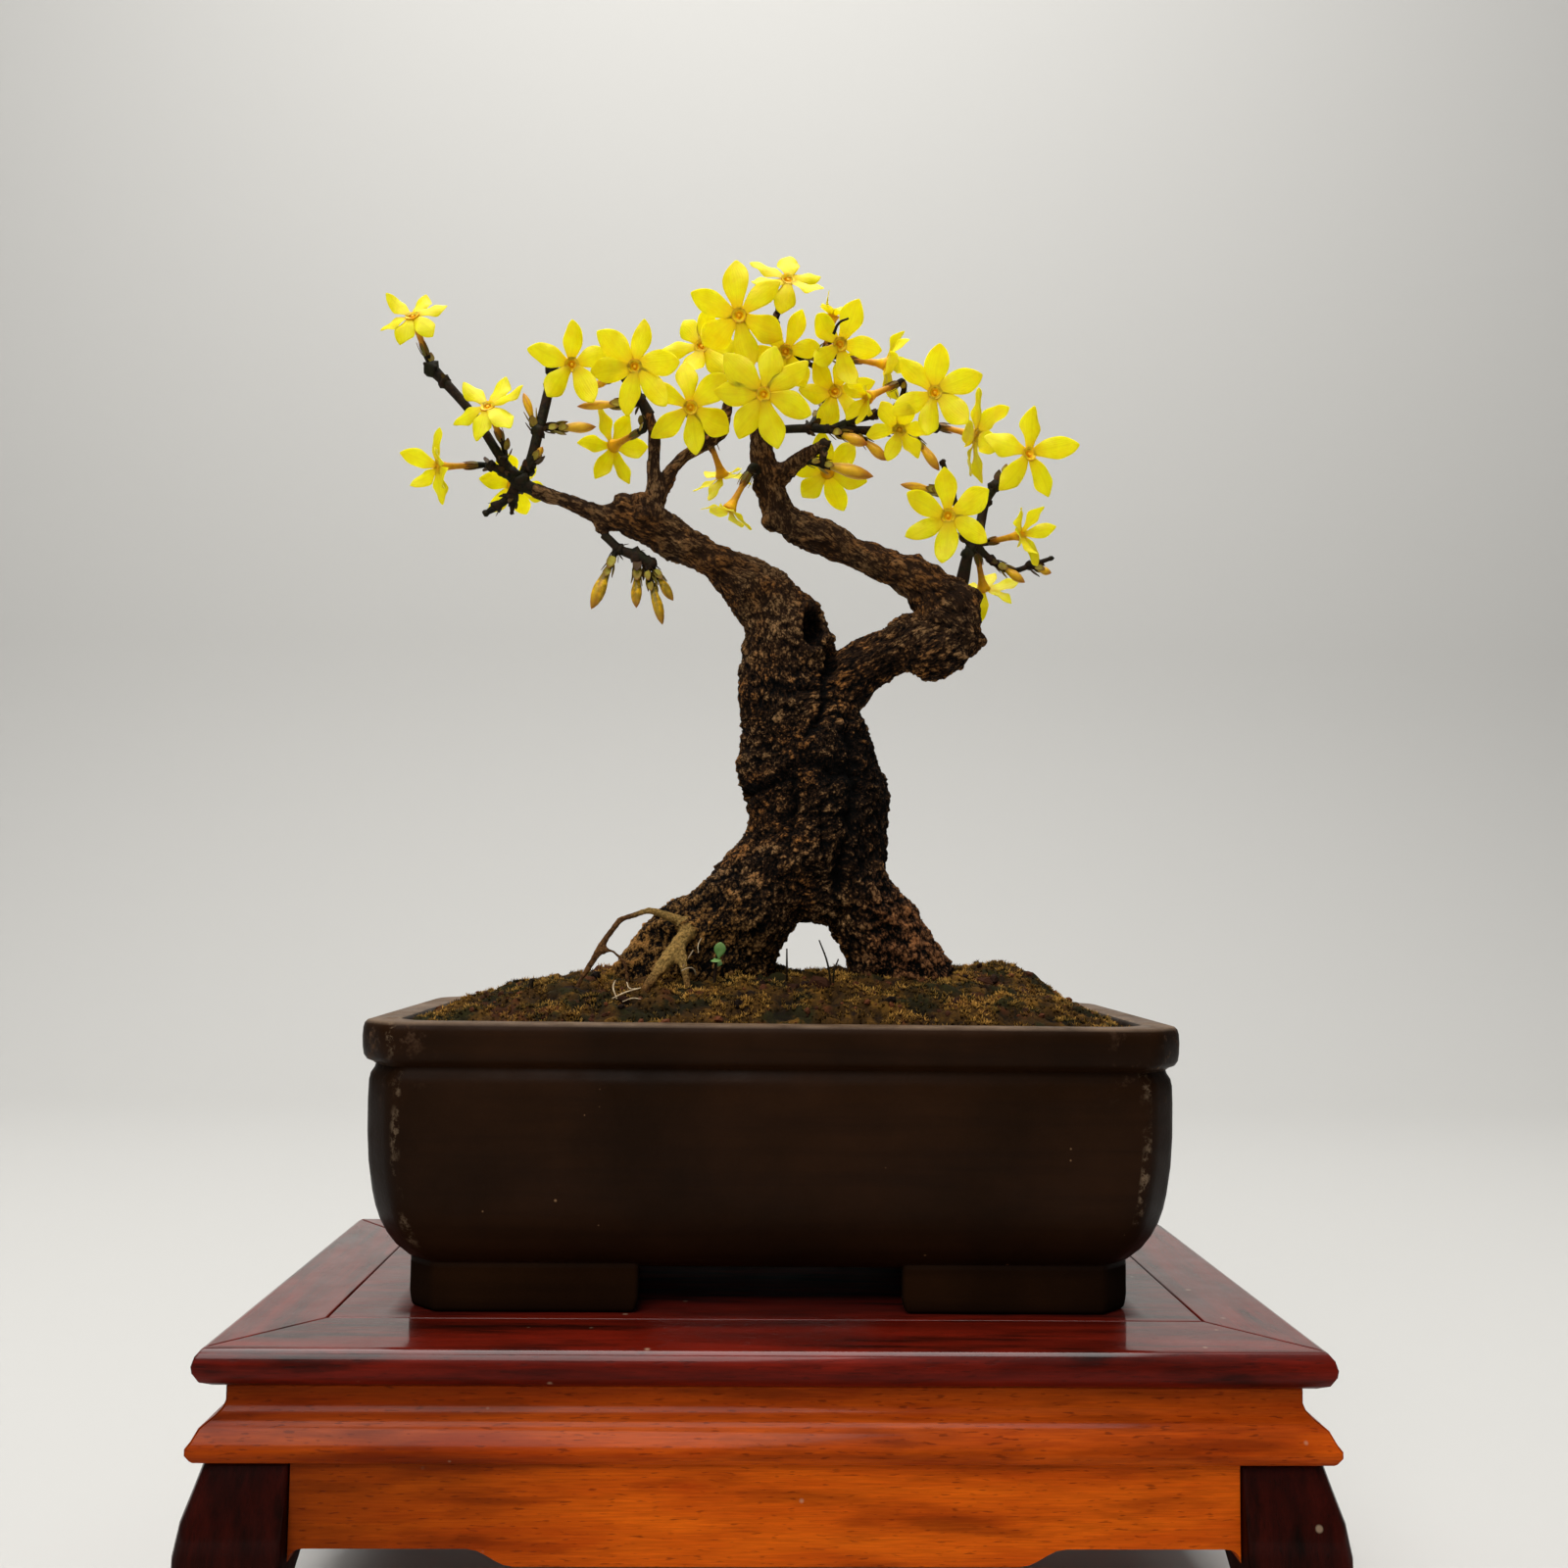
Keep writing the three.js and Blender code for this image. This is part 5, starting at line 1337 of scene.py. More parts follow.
# %% Blooms, buds and stems
# Each bloom: carrier, start of its stalk, centre of its throat, facing, petal length, petals,
# turn of the first petal in degrees, and how far it is open.
BLOOMS = {
    "left_top": ("left_tip", [-94, -9, 323.4], [-98.5, -15, 335.8],
        [-0.2, -0.72, 0.66], 8.6, 6, 4, 1),
    "left_upper": ("left_tip", [-73.8, -6.8, 298], [-77.3, -17, 310.7],
        [-0.2, -0.82, 0.54], 10.2, 6, 12, 1),
    "left_outer": ("left_tip", [-77.6, -7, 297.4], [-91.2, -10.6, 295.9],
        [-0.81, -0.55, -0.21], 9.6, 6, 10, 0.85),
    "left_back": ("left_tip", [-71, -5.4, 293.8], [-73.5, 8, 296.2],
        [-0.19, 0.92, 0.35], 9.4, 6, 20, 1),
    "left_crown": ("left_tip", [-62, -3.4, 325], [-55.8, -12, 324.5],
        [0.26, -0.94, -0.23], 10.6, 5, -3, 0.9),
    "crown_left_front": ("crown_left", [-39, -2.8, 320.2], [-38.2, -18.6, 322],
        [0.09, -0.96, -0.28], 12, 6, 15, 1),
    "crown_left_back": ("crown_left", [-37.8, -2.8, 318.4], [-45.8, 8, 308.1],
        [-0.69, 0.7, -0.16], 10.4, 6, 30, 0.9),
    "crown_front_left": ("wood", [-20, 1.8, 307.4], [-23.5, -9, 314.2],
        [0.09, -0.95, -0.29], 12.2, 6, -6, 1),
    "crown_high": ("crown_middle_left", [-9.4, 0.6, 333.6], [-10.5, -17, 337.3],
        [-0.09, -0.95, -0.31], 13, 6, -11, 1),
    "crown_behind": ("crown_middle_left", [-11.8, 1.6, 326], [-21.1, 3, 335.8],
        [-0.17, -0.98, -0.03], 9.8, 6, 20, 1),
    "crown_top": ("crown_middle", [-0.4, 4.4, 343], [2.9, -5, 352.3],
        [0.2, -0.88, 0.42], 10.7, 6, 5, 1),
    "crown_centre": ("crown_middle", [0, 4, 333.6], [2.4, -7, 331.1],
        [-0.1, -0.92, -0.38], 10.6, 6, 25, 1),
    "crown_front": ("crown_middle", [-4, 5.4, 318], [-3.6, -19, 314.9],
        [-0.01, -0.91, -0.41], 12.8, 7, 8, 1),
    "crown_right_front": ("crown_middle", [-0.8, 4, 330.4], [17.3, -8.6, 332.9],
        [0.25, -0.94, -0.23], 11, 5, 18, 1),
    "crown_right_low": ("right_twig", [9.7, 5.2, 313.6], [17.1, 8.8, 325.4],
        [0.2, -0.98, 0], 11.2, 6, 15, 1),
    "crown_half_open": ("crown_middle", [0.3, 4, 338], [16, 9, 347.4],
        [0.18, -0.27, 0.95], 6.6, 6, 0, 0.45),
    "crown_right_edge": ("crown_middle", [-0.2, 4, 334.6], [31, 3, 331.6],
        [0.94, -0.27, -0.23], 10.4, 6, 12, 0.9),
    "right_twig_top": ("right_twig", [41.6, 3, 313.5], [42.9, -14.5, 317.8],
        [-0.02, -0.99, -0.11], 11.8, 6, 8, 1),
    "right_twig_end": ("right_twig", [45.2, 3.4, 313.8], [56.6, 4, 312],
        [0.88, -0.35, -0.32], 12.2, 6, 22, 0.95),
    "right_twig_low": ("right_twig", [34.6, 2, 318.8], [34.1, -6.5, 310],
        [-0.17, -0.66, -0.74], 8.2, 6, 28, 0.9),
    "right_twig_left": ("right_twig", [34.8, 2, 319], [25.2, -8, 318.4],
        [-0.75, -0.45, -0.49], 7.6, 6, 10, 0.6),
    "middle_back": ("wood", [14, 3.6, 308.2], [15.5, 17, 304.1],
        [0.15, 0.99, 0.08], 11, 6, 14, 1),
    "middle_hanging": ("wood", [-17.4, 2.4, 308.8], [-15, 15.5, 302.4],
        [0.34, 0.54, -0.77], 8.6, 6, 0, 0.8),
    "middle_low": ("wood", [-4.4, 5, 298.6], [-12.4, 0.6, 288.8],
        [-0.46, -0.04, -0.89], 8.2, 5, 15, 0.7),
    "right_end_top": ("right_end", [61, -2.8, 295.4], [69.4, -10, 302.6],
        [0.29, -0.95, 0.11], 11.8, 5, 5, 1),
    "right_end_front": ("right_end", [54.2, -4.8, 277.4], [46, -19, 282.7],
        [-0.17, -0.94, -0.29], 11.4, 6, -3, 1),
    "right_end_half_open": ("right_end", [55.2, -4.4, 279.6], [67.4, -8, 280.6],
        [0.65, -0.76, 0.01], 8.8, 6, 10, 0.6),
    "right_end_hanging": ("right_end", [55, -4.4, 279], [59.4, 7, 268.6],
        [0.24, 0.55, -0.8], 9.4, 6, 0, 0.85),
}
# Each bud: carrier, start, tip and size.
BUDS = [
    ("left_tip", [-64.9, -4.2, 309], [-49.8, -4.6, 309.6], 1.9),
    ("left_tip", [-65.6, -4.5, 307], [-69.6, -5, 318.6], 1.4),
    ("left_tip", [-67, -5, 298.6], [-64, -5.6, 303.4], 1.2),
    ("hanging_buds", [-43, -5, 275.8], [-49.6, -6.4, 258.6], 2.3),
    ("hanging_buds", [-37.4, -6, 273], [-37.4, -7, 259], 1.9),
    ("hanging_buds", [-35.2, -6, 271.8], [-30.2, -7.6, 254.4], 1.8),
    ("hanging_buds", [-34, -6, 271.4], [-27.6, -4.4, 261.6], 1.7),
    ("crown_left", [-37, -3, 317.2], [-54.6, -5.4, 315], 1.6),
    ("crown_left", [-44, -0.8, 326.4], [-50.6, 0.6, 322.6], 1.5),
    ("right_twig", [14.6, 4.4, 313], [25.6, -0.4, 307.4], 2),
    ("right_twig", [21.6, 3.8, 312.7], [31.4, 1.6, 303.6], 1.9),
    ("wood", [7.6, 4.8, 304.4], [27.4, 1.4, 298.8], 2.1),
    ("right_twig", [37.6, 3, 313.2], [45.8, -0.6, 300.4], 1.8),
    ("right_end", [49.6, -1, 293.6], [35, -2.4, 295.6], 1.5),
    ("right_end", [61, -0.4, 275], [69.6, -1.6, 268.8], 1.6),
    ("right_end", [72, 4.6, 275], [78.2, 4.4, 272.8], 1.4),
]
# Each spray: its stems, as points with a radius.
SPRAYS = {
    "left_tip": [
        [[-67.1, -5.9, 291.8, 2], [-69.6, -6, 293, 2.3], [-71.8, -6.4, 295.2, 1.8], [-74.6, -7, 299, 1.4],
         [-82.7, -8, 311.1, 1.3], [-90.6, -9, 320, 1.5], [-94, -9, 323.4, 1.9]],
        [[-70, -6, 293.4, 1.8], [-68.2, -5.2, 296.8, 1.6], [-65.4, -4.4, 308, 1.6], [-62.6, -3.6, 322, 1.5],
         [-62, -3.4, 326, 1.7]],
        [[-71, -6, 293.6, 1.6], [-74, -6.4, 295.8, 1.3], [-77.6, -7, 297.4, 1.2]],
        [[-70.8, -6, 293.4, 1.4], [-73, -6, 289, 1.2], [-76, -6.3, 286.4, 1.3], [-78.8, -6.5, 284.4, 0.8]],
        [[-71, -6, 293.4, 1.4], [-71.6, -6.3, 288.4, 1.4], [-71.8, -6.6, 284.6, 0.5]],
    ],
    "hanging_buds": [
        [[-45.7, -4.7, 278.4, 1.3], [-42.2, -5, 275.3, 1.3], [-37.6, -6, 273.4, 1.8],
         [-34, -6, 271.4, 1.6]],
    ],
    "crown_left": [
        [[-35.6, -3, 315.2, 1.4], [-37.4, -3, 318, 1.4], [-39.6, -2.6, 321, 1.4], [-43.4, -1, 326, 1.1],
         [-47, 0, 332.4, 0.9]],
    ],
    "crown_middle_left": [
        [[-13, 2, 322.6, 1.4], [-11.6, 1.6, 326.4, 1.3], [-9.7, 1, 331, 1.2], [-9.3, 0.4, 334.6, 1.1]],
    ],
    "crown_middle": [
        [[-4.6, 6, 314.6, 2.3], [-3.6, 5, 321, 1.8], [-1, 4, 329, 1.5], [0.2, 4, 337, 1.3],
         [-0.4, 4.4, 343, 1.2]],
    ],
    "right_twig": [
        [[-1.2, 5.5, 312.8, 1.3], [9.7, 5, 313.3, 1.4], [19.1, 4, 312.7, 1.4], [30.6, 3, 312.6, 1.4],
         [42.6, 3, 313.6, 1.2], [45.4, 3.4, 313.8, 1.1]],
        [[16, 4.2, 312.9, 1.3], [21, 3.6, 315, 1.3], [27.3, 3, 316.9, 1.3], [35.3, 2, 319, 1.4]],
    ],
    "right_end": [
        [[52, -5, 269.1, 2], [53.4, -5, 275.5, 1.6], [56.5, -4, 282.7, 1.5], [58.6, -3, 291.2, 1.4],
         [61, -2.8, 295.4, 1.5]],
        [[54.8, -4.5, 279, 1.3], [60, -1, 275.4, 1], [66, 3, 273, 0.9], [74, 5, 275.6, 0.8],
         [78.4, 5, 277.2, 0.6]],
        [[54.6, -4.6, 278, 1.3], [52.4, -2.4, 284, 1], [49.4, -1, 294, 0.9], [46.8, -1, 302.4, 0.8]],
    ],
}
print(len(BLOOMS), "blooms,", len(BUDS), "buds,", len(SPRAYS), "sprays")


# %% [markdown]
# ## Blooms
# Each bloom gathers its petals round the tube. Every petal takes one of the models, a size, a
# width and a lift drawn at random, and the lift of a bloom that is half open closes it like a
# cup.

# %% Blooms
LAY_FLAT = Matrix.Rotation(-math.pi / 2, 4, "X")


def facing_matrix(centre, facing, turn):
    """Frame of a bloom: Z is its facing, Y its upright, and the throat is at the origin."""
    front = Vector(facing).normalized()
    guide = Vector((0, 0, 1)) if abs(front.z) < 0.95 else Vector((0, 1, 0))
    side = guide.cross(front).normalized()
    frame_turn = Matrix((side, front.cross(side), front)).transposed()
    frame_turn = frame_turn @ Matrix.Rotation(-math.radians(turn), 3, "Z")
    return Matrix.Translation(mm(*centre)) @ frame_turn.to_4x4()


def make_bloom(name, centre, facing, length, petals, turn, opened):
    place = facing_matrix(centre, facing, turn)
    parts = [copy_of(tube_model, "tube_copy", place)]
    for k in range(petals):
        size = length * (1.03 + 0.12 * random.random()) * MM
        wide = size * (0.86 + 0.34 * random.random())
        rise = 1.25 * (1 - opened) + random.uniform(-0.06, 0.2)
        yaw = -2 * math.pi * k / petals + random.uniform(-0.08, 0.08)
        roll = random.uniform(-0.22, 0.22)
        model = random.choice(petal_models)
        step_up = (0.05 + 0.12 * (k % 2)) * MM
        local = (Matrix.Translation((0, 0, step_up)) @ Matrix.Rotation(yaw, 4, "Z")
                 @ Matrix.Rotation(rise, 4, "X") @ Matrix.Rotation(roll, 4, "Y") @ LAY_FLAT
                 @ Matrix.Diagonal((wide, size, size, 1)))
        parts.append(copy_of(model, "petal_copy", place @ local))
    bloom = join(parts, f"flower_{name}")
    return seat(smooth(bloom, 60), "petal", f"bloom_{name}")


for name, (_, _, centre, *pose) in BLOOMS.items():
    make_bloom(name, centre, *pose)


# %% [markdown]
# ## Shoots, cups and buds
# Green blades of three kinds come first: the narrow teeth of the cup that holds each bloom, the
# brown-edged bracts that clasp the shoots and stalks, and the round leaf of the seedling. Each
# is a strip drawn out, bent and thickened as a petal is.

# %% Green blades
BLADE_THICK = 0.16
SEPAL_ROWS = [(0.0, 0.1), (0.25, 0.15), (0.6, 0.12), (0.85, 0.07), (1.0, 0.015)]
BRACT_ROWS = [(0.0, 0.2), (0.3, 0.36), (0.6, 0.33), (0.85, 0.18), (1.0, 0.03)]
ROUND_LEAF_ROWS = [(0.0, 0.06), (0.15, 0.09), (0.35, 0.3), (0.6, 0.4), (0.85, 0.3), (1.0, 0.05)]


def model_blade(name, length, rows, cup, curl):
    """A small pointed blade that stands along Z and hollows towards -Y, sizes in millimetres."""
    blade = bend_strip(draw_strip(name, rows, 2), rows, "blade_place", cup, curl)
    blade.data.transform(Matrix.Scale(length * MM, 4))
    return thicken(blade, BLADE_THICK * MM)


sepal_model = model_blade("sepal", 4.2, SEPAL_ROWS, 0.5, -0.35)
bract_model = model_blade("bract", 3.4, BRACT_ROWS, 1.2, 0.3)
round_leaf_model = model_blade("round_leaf", 4.2, ROUND_LEAF_ROWS, 0.4, 0.3)
print("blades:", [model.name for model in (sepal_model, bract_model, round_leaf_model)])


# %% [markdown]
# The blades share one finish with other colours: a body, a browner edge and a tip. The shoots
# are almost black with a little green. Buds are green at the foot, yellow in the middle and
# brown at the tip, and the ones that hang below the left limb are olive.

# %% Green and bud colours
def make_green(name, body, edge, tip):
    material, tree, shader = new_material(name)
    across, along, _ = split(tree, stored(tree, "blade_place", "Vector"))
    vector = millimetres(tree)
    color = tint(tree, spread(tree, cloud(tree, vector, 2.4, 3), 0.35, 0.65), body, edge)
    color = dab(tree, color, spread(tree, unsigned(tree, across), 0.5, 0.95), 0.8, edge)
    color = tint(tree, spread(tree, along, 0.6, 1.0), color, tip)
    wire(tree, shader, Base_Color=color, Roughness=0.6, Specular_IOR_Level=0.2,
         Normal=bump(tree, cloud(tree, vector, 0.7, 3), 0.12))
    return material


def make_shoot():
    material, tree, shader = new_material("green shoot")
    vector = millimetres(tree)
    brown = spread(tree, cloud(tree, vector, 4, 3), 0.4, 0.6)
    color = tint(tree, brown, srgb(30, 30, 12), srgb(44, 28, 15))
    dark = spread(tree, cloud(tree, vector, 1.4, 4, 0.65), 0.45, 0.65)
    color = dab(tree, color, dark, 0.85, srgb(9, 6, 4))
    wire(tree, shader, Base_Color=color, Roughness=0.75, Specular_IOR_Level=0.15,
         Normal=bump(tree, cloud(tree, vector, 0.8, 3), 0.3))
    return material


def make_bud_finish():
    material, tree, shader = new_material("bud")
    fold, along, _ = split(tree, stored(tree, "petal_place", "Vector"))
    vector = millimetres(tree)
    place = split(tree, vector)
    color = tint(tree, spread(tree, along, 0.05, 0.4), srgb(150, 128, 20), srgb(232, 182, 16))
    color = dab(tree, color, fold, 0.55, srgb(176, 108, 12))
    blotches = spread(tree, cloud(tree, vector, 2.2, 3), 0.45, 0.7)
    brown = plus(tree, spread(tree, along, 0.66, 1.0), times(tree, blotches, 0.35))
    color = tint(tree, times(tree, brown, 0.8, clamp=True), color, srgb(164, 92, 22))
    hanging = times(tree, spread(tree, place["Z"], 288, 284), spread(tree, place["X"], -20, -26))
    hanging_olive = times(tree, hanging, spread(tree, place["X"], -50, -46, 0.3, 0.85))
    hanging_olive = times(tree, hanging_olive, spread(tree, cloud(tree, vector, 1.6, 4), 0.36, 0.56))
    hanging_olive = times(tree, hanging_olive, spread(tree, along, 1.0, 0.4, 0.4, 1.0))
    color = tint(tree, hanging_olive, color, srgb(84, 78, 20))
    wire(tree, shader, Base_Color=color, Roughness=0.5, Specular_IOR_Level=0.3, Subsurface_Weight=0.2,
         Subsurface_Radius=(1.0, 0.8, 0.2), Subsurface_Scale=0.8 * MM)
    return material


shoot_green = make_shoot()
leaf_green = make_green("young leaf", srgb(108, 142, 78), srgb(80, 116, 56), srgb(116, 146, 84))
paint(sepal_model, make_green("sepal", srgb(90, 96, 26), srgb(110, 76, 26), srgb(124, 70, 22)))
paint(bract_model, make_green("bract", srgb(74, 64, 22), srgb(70, 40, 16), srgb(52, 28, 13)))
scale_model = paint(copy_of(bract_model, "scale"),
                    make_green("bud scale", srgb(166, 156, 54), srgb(124, 100, 34), srgb(118, 76, 30)))
paint(round_leaf_model, leaf_green)
print("finishes so far:", len(bpy.data.materials))


# %% [markdown]
# A bud is a spun spindle whose points are pushed in and out along a slow twist, because the
# petals are rolled round each other inside it.

# %% One bud
BUD_PROFILE = [(0.4, 0.0), (0.5, 0.14), (0.72, 0.32), (0.94, 0.48), (1.0, 0.6), (0.9, 0.74), (0.64, 0.87),
               (0.32, 0.96), (0.02, 1.02)]


def model_bud():
    """A bud of length 1 along Z, and of radius 1 before it is scaled."""
    bud = spin_profile("bud", BUD_PROFILE, 15, scale=1)
    places = points_of(bud)
    fold = np.cos(3 * np.arctan2(places[:, 1], places[:, 0]) + 4.5 * places[:, 2])
    swell = 1 + 0.08 * fold * np.clip(places[:, 2] * 3, 0, 1)
    move_points(bud, places * np.stack([swell, swell, np.ones(len(swell))], axis=1))
    give_place(bud, "petal_place", fold < -0.75, places[:, 2])
    return paint(bud, make_bud_finish())


bud_model = model_bud()
print("bud:", len(bud_model.data.polygons), "faces")


# %% [markdown]
# The green shoots are tubes along the points of each spray. A curve with a round bevel gives
# such a tube, thick or thin at each point, and is then made a mesh. A knob covers every swollen
# joint, and blades stand round a stem in a ring, each turned and sized a little at random.

# %% Stems, knobs and rings of blades
def make_stem(name, points, thicker=0.0):
    """A round stem through points in millimetres, each with its radius."""
    curve = bpy.data.curves.new(name, "CURVE")
    curve.dimensions = "3D"
    curve.bevel_depth = MM
    curve.bevel_resolution = 2
    curve.resolution_u = 5
    curve.use_fill_caps = True
    spline = curve.splines.new("BEZIER")
    spline.bezier_points.add(len(points) - 1)
    for knot, (x, y, z, radius) in zip(spline.bezier_points, points):
        knot.co = mm(x, y, z)
        knot.radius = 0.92 * radius + thicker
        knot.handle_left_type = knot.handle_right_type = "AUTO"
    only(new_object(name, curve))
    bpy.ops.object.convert(target="MESH")
    return paint(bpy.context.object, shoot_green)


def model_knob():
    """The swollen joint of a shoot, as an uneven lump of radius 1."""
    bpy.ops.mesh.primitive_ico_sphere_add(subdivisions=2, radius=1)
    knob = settle(bpy.context.object)
    knob.name = "knob"
    points = points_of(knob)
    move_points(knob, points * np.array([[1 + 0.5 * noise.noise(Vector(p) * 1.7)] for p in points]))
    return paint(knob, shoot_green)


knob_model = model_knob()
print("knob:", len(knob_model.data.polygons), "faces")


def joint(place, radius):
    """A knob at a place, in millimetres."""
    return copy_of(knob_model, "joint",
                   Matrix.Translation(mm(*place)) @ tumbled() @ Matrix.Scale(radius * MM, 4))


def clasp(model, foot, direction, radius, count, lean, size, first=0.0):
    """Blades set round a stem: the foot in millimetres, and how far they lean out, in radians."""
    made = []
    for k in range(count):
        around = Matrix.Rotation(first + 2 * math.pi * k / count + random.uniform(-0.15, 0.15), 4, "Z")
        out = Matrix.Rotation(-lean - random.uniform(-0.1, 0.12), 4, "X")
        grown = Matrix.Scale(size * random.uniform(0.88, 1.12), 4)
        local = around @ Matrix.Translation((0, radius * MM, 0)) @ out @ grown
        made.append(copy_of(model, "blade", Matrix.Translation(mm(*foot)) @ pointing(direction) @ local))
    return made


# %% [markdown]
# A stalk ends in the cup round the foot of the bloom's tube. Pairs of small blades clasp it
# below, each pair turned a quarter from the last. A bud sits on a shorter stalk in the same way.

# %% Stalks and buds
CUP_GAP = 0.3
NECK = 2.4
STALK_PAIR, BUD_PAIR = 2.6, 3.4


def make_stalk(start, centre, facing, thicker):
    """The stalk of a bloom, the cup that holds its tube, and pairs of bracts below it."""
    start, front = Vector(start), Vector(facing).normalized()
    base = Vector(centre) - front * (TUBE_LENGTH + CUP_GAP)
    neck = base - front * NECK
    points = [(*start, 0.9), (*neck, 0.85), (*base, 1.1), (*(base + front * 0.9), 0.9)]
    made = [make_stem("stalk", points, thicker), joint(start, 1.5 + thicker)]
    made += clasp(sepal_model, base - front * 0.2, front, 0.85 + thicker, 6, 0.2, 1.0)
    run = neck - start
    pairs = max(1, min(4, int(run.length / STALK_PAIR)))
    for k in range(pairs):
        foot = start + run * (1 - (k + 0.6) / (pairs + 0.4))
        made += clasp(scale_model if k < pairs - 1 else bract_model, foot, run, 0.6 + thicker, 2, 0.38,
                      random.uniform(0.75, 1.1), k * math.pi / 2)
    return made


def make_bud(start, tip, size, thicker):
    """A bud on its short stalk, with scales in pairs up to where the yellow begins."""
    start, tip = Vector(start), Vector(tip)
    run = tip - start
    points = [(*start, 0.9), (*(start + run * 0.2), 0.9), (*(start + run * 0.42), 0.95)]
    made = [make_stem("bud_stalk", points, thicker)]
    wide = (size * 0.8 + thicker) * MM
    body = Matrix.Diagonal((wide, wide, run.length * 0.7 * MM, 1))
    place = Matrix.Translation((start + run * 0.3) * MM) @ pointing(run)
    made.append(copy_of(bud_model, "bud", place @ body))
    made.append(joint(start, 1.35 + thicker))
    pairs = max(2, min(4, int(run.length / BUD_PAIR)))
    for k in range(pairs):
        foot = start + run * (0.06 + 0.36 * k / pairs)
        made += clasp(scale_model if k else bract_model, foot, run, 0.66 + thicker, 2, 0.14,
                      random.uniform(0.85, 1.15), k * math.pi / 2)
    return made


# %% [markdown]
# A spray is its stems with a knob and a pair of bracts at each point, and all the stalks and
# buds that it carries. The first stem starts a little inside the wood, so that no gap shows.
# Blooms and buds that grow straight from the old wood make a last spray with no stems.

# %% Sprays
ROOTED = 1.6


def rooted(points):
    """The points of a stem with one more before the first, inside the wood it grows from."""
    first, second = Vector(points[0][:3]), Vector(points[1][:3])
    return [(*(first + (first - second).normalized() * ROOTED), points[0][3]), *points]


def make_spray(name, stems, carrier, thicker=0.0):
    made = [make_stem(f"stem_{k}", rooted(points) if k == 0 else points, thicker)
            for k, points in enumerate(stems)]
    for points in stems:
        made += [joint(point, 1.2 * radius) for *point, radius in points[1:]]
        for (*foot, radius), after in zip(points[1:], points[2:]):
            made += clasp(bract_model, foot, Vector(after[:3]) - Vector(foot), radius - 0.3, 2, 0.5,
                          random.uniform(0.5, 0.8), random.random() * 3)
    for owner, start, centre, facing, *_ in BLOOMS.values():
        if owner == carrier:
            made += make_stalk(start, centre, facing, thicker)
    for owner, start, tip, size in BUDS:
        if owner == carrier:
            made += make_bud(start, tip, size, thicker)
    return smooth(join(made, name), 60)


for name, stems in SPRAYS.items():
    seat(make_spray(f"spray_{name}", stems, name), "shoot", f"shoot_{name}")
seat(make_spray("spray_wood", [], "wood", 0.3), "shoot")


# %% [markdown]
# ## Small growth
# A seedling with two pairs of round leaves stands in front of the left root, dry sprouts lean
# against the right root, pale rootlets as thin as thread lie over the moss by the left one, and a
# dried style still hangs in front of one bloom. Each is short work with the stem and the round
# leaf made above. At the end the models that were copied are removed.

# %% Small growth
SEEDLING_X, SEEDLING_Y = -13.8, -21
SEEDLING_STEM = [(-14.4, -21, 155, 0.5), (-14.3, -21, 161, 0.45), (-13.8, -21, 166.2, 0.4)]
# Each leaf: its foot from the stem's in x and y, its height, turn, lean, nod and size.
LEAVES = [(0.4, -0.4, 164.6, 0.0, 0.1, 0.2, 1.05), (0.3, 0.4, 165.0, 3.1, -0.2, 0.2, 0.8),
          (-0.6, 0.3, 164.8, 0.1, -0.1, 1.95, 0.95), (0.2, 0.4, 162.6, 3.0, -0.3, 0.9, 0.5)]
# Each thread as points with a radius, in millimetres.
SPROUTS = [[(4.4, -17, 159, 0.34), (4.3, -19, 163, 0.3), (4.2, -20, 167.4, 0.2)],
           [(15.6, -22, 158, 0.36), (14.6, -23.4, 164, 0.28), (12.4, -23.6, 169.8, 0.2)],
           [(16.2, -22, 158, 0.3), (16.4, -23.4, 162, 0.26), (17.4, -24, 165, 0.2)]]
STYLE = [(15.4, -11.5, 334.6, 0.5), (16.8, -12.6, 337.4, 0.4), (19.4, -13, 338.6, 0.3)]
TWIG = [(-62.6, -19, 152, 1.2), (-62, -20, 156, 0.9), (-61.4, -20.4, 159, 0.6)]
ROOTLETS = [[(-20.2, -16.6, 166.6, 0.2), (-21.6, -19.8, 164.2, 0.16), (-22.5, -24, 162.6, 0.12)],
            [(-22.9, -24, 161.6, 0.14), (-21.1, -24, 162.3, 0.16), (-19.9, -22.4, 162, 0.2),
             (-19.2, -20.6, 160.4, 0.22)],
            [(-40.0, -20.8, 158.8, 0.16), (-40.2, -25, 157.3, 0.24), (-38.8, -30.2, 154.7, 0.22)],
            [(-36.6, -26.4, 158.6, 0.14), (-35.4, -29.2, 157.1, 0.2), (-33.8, -29.4, 157.2, 0.14)],
            [(-39.8, -32.4, 154.8, 0.2), (-36.5, -29.8, 156.3, 0.24), (-32.8, -29.8, 157.4, 0.14)],
            [(-37.2, -32, 154.0, 0.14), (-34.8, -32.2, 154.9, 0.2), (-32.5, -33.4, 154.8, 0.14)],
            [(-18.1, -16.4, 169.8, 0.16), (-18.9, -17.4, 167.9, 0.16), (-18.8, -17.8, 166, 0.12)]]

def make_seedling():
    made = [make_stem("seedling_stem", SEEDLING_STEM)]
    for shift, behind, z, turn, lean, nod, size in LEAVES:
        place = (Matrix.Translation(mm(SEEDLING_X + shift, SEEDLING_Y + behind, z))
                 @ Matrix.Rotation(turn, 4, "Z") @ Matrix.Rotation(lean, 4, "Y")
                 @ Matrix.Rotation(nod, 4, "X"))
        made.append(copy_of(round_leaf_model, "leaf", place @ Matrix.Scale(size, 4)))
    return smooth(join(made, "seedling_leaves"), 60)


def make_threads(name, lines):
    """Thin stems joined into one piece."""
    return smooth(join([make_stem("thread", points) for points in lines], name), 60)


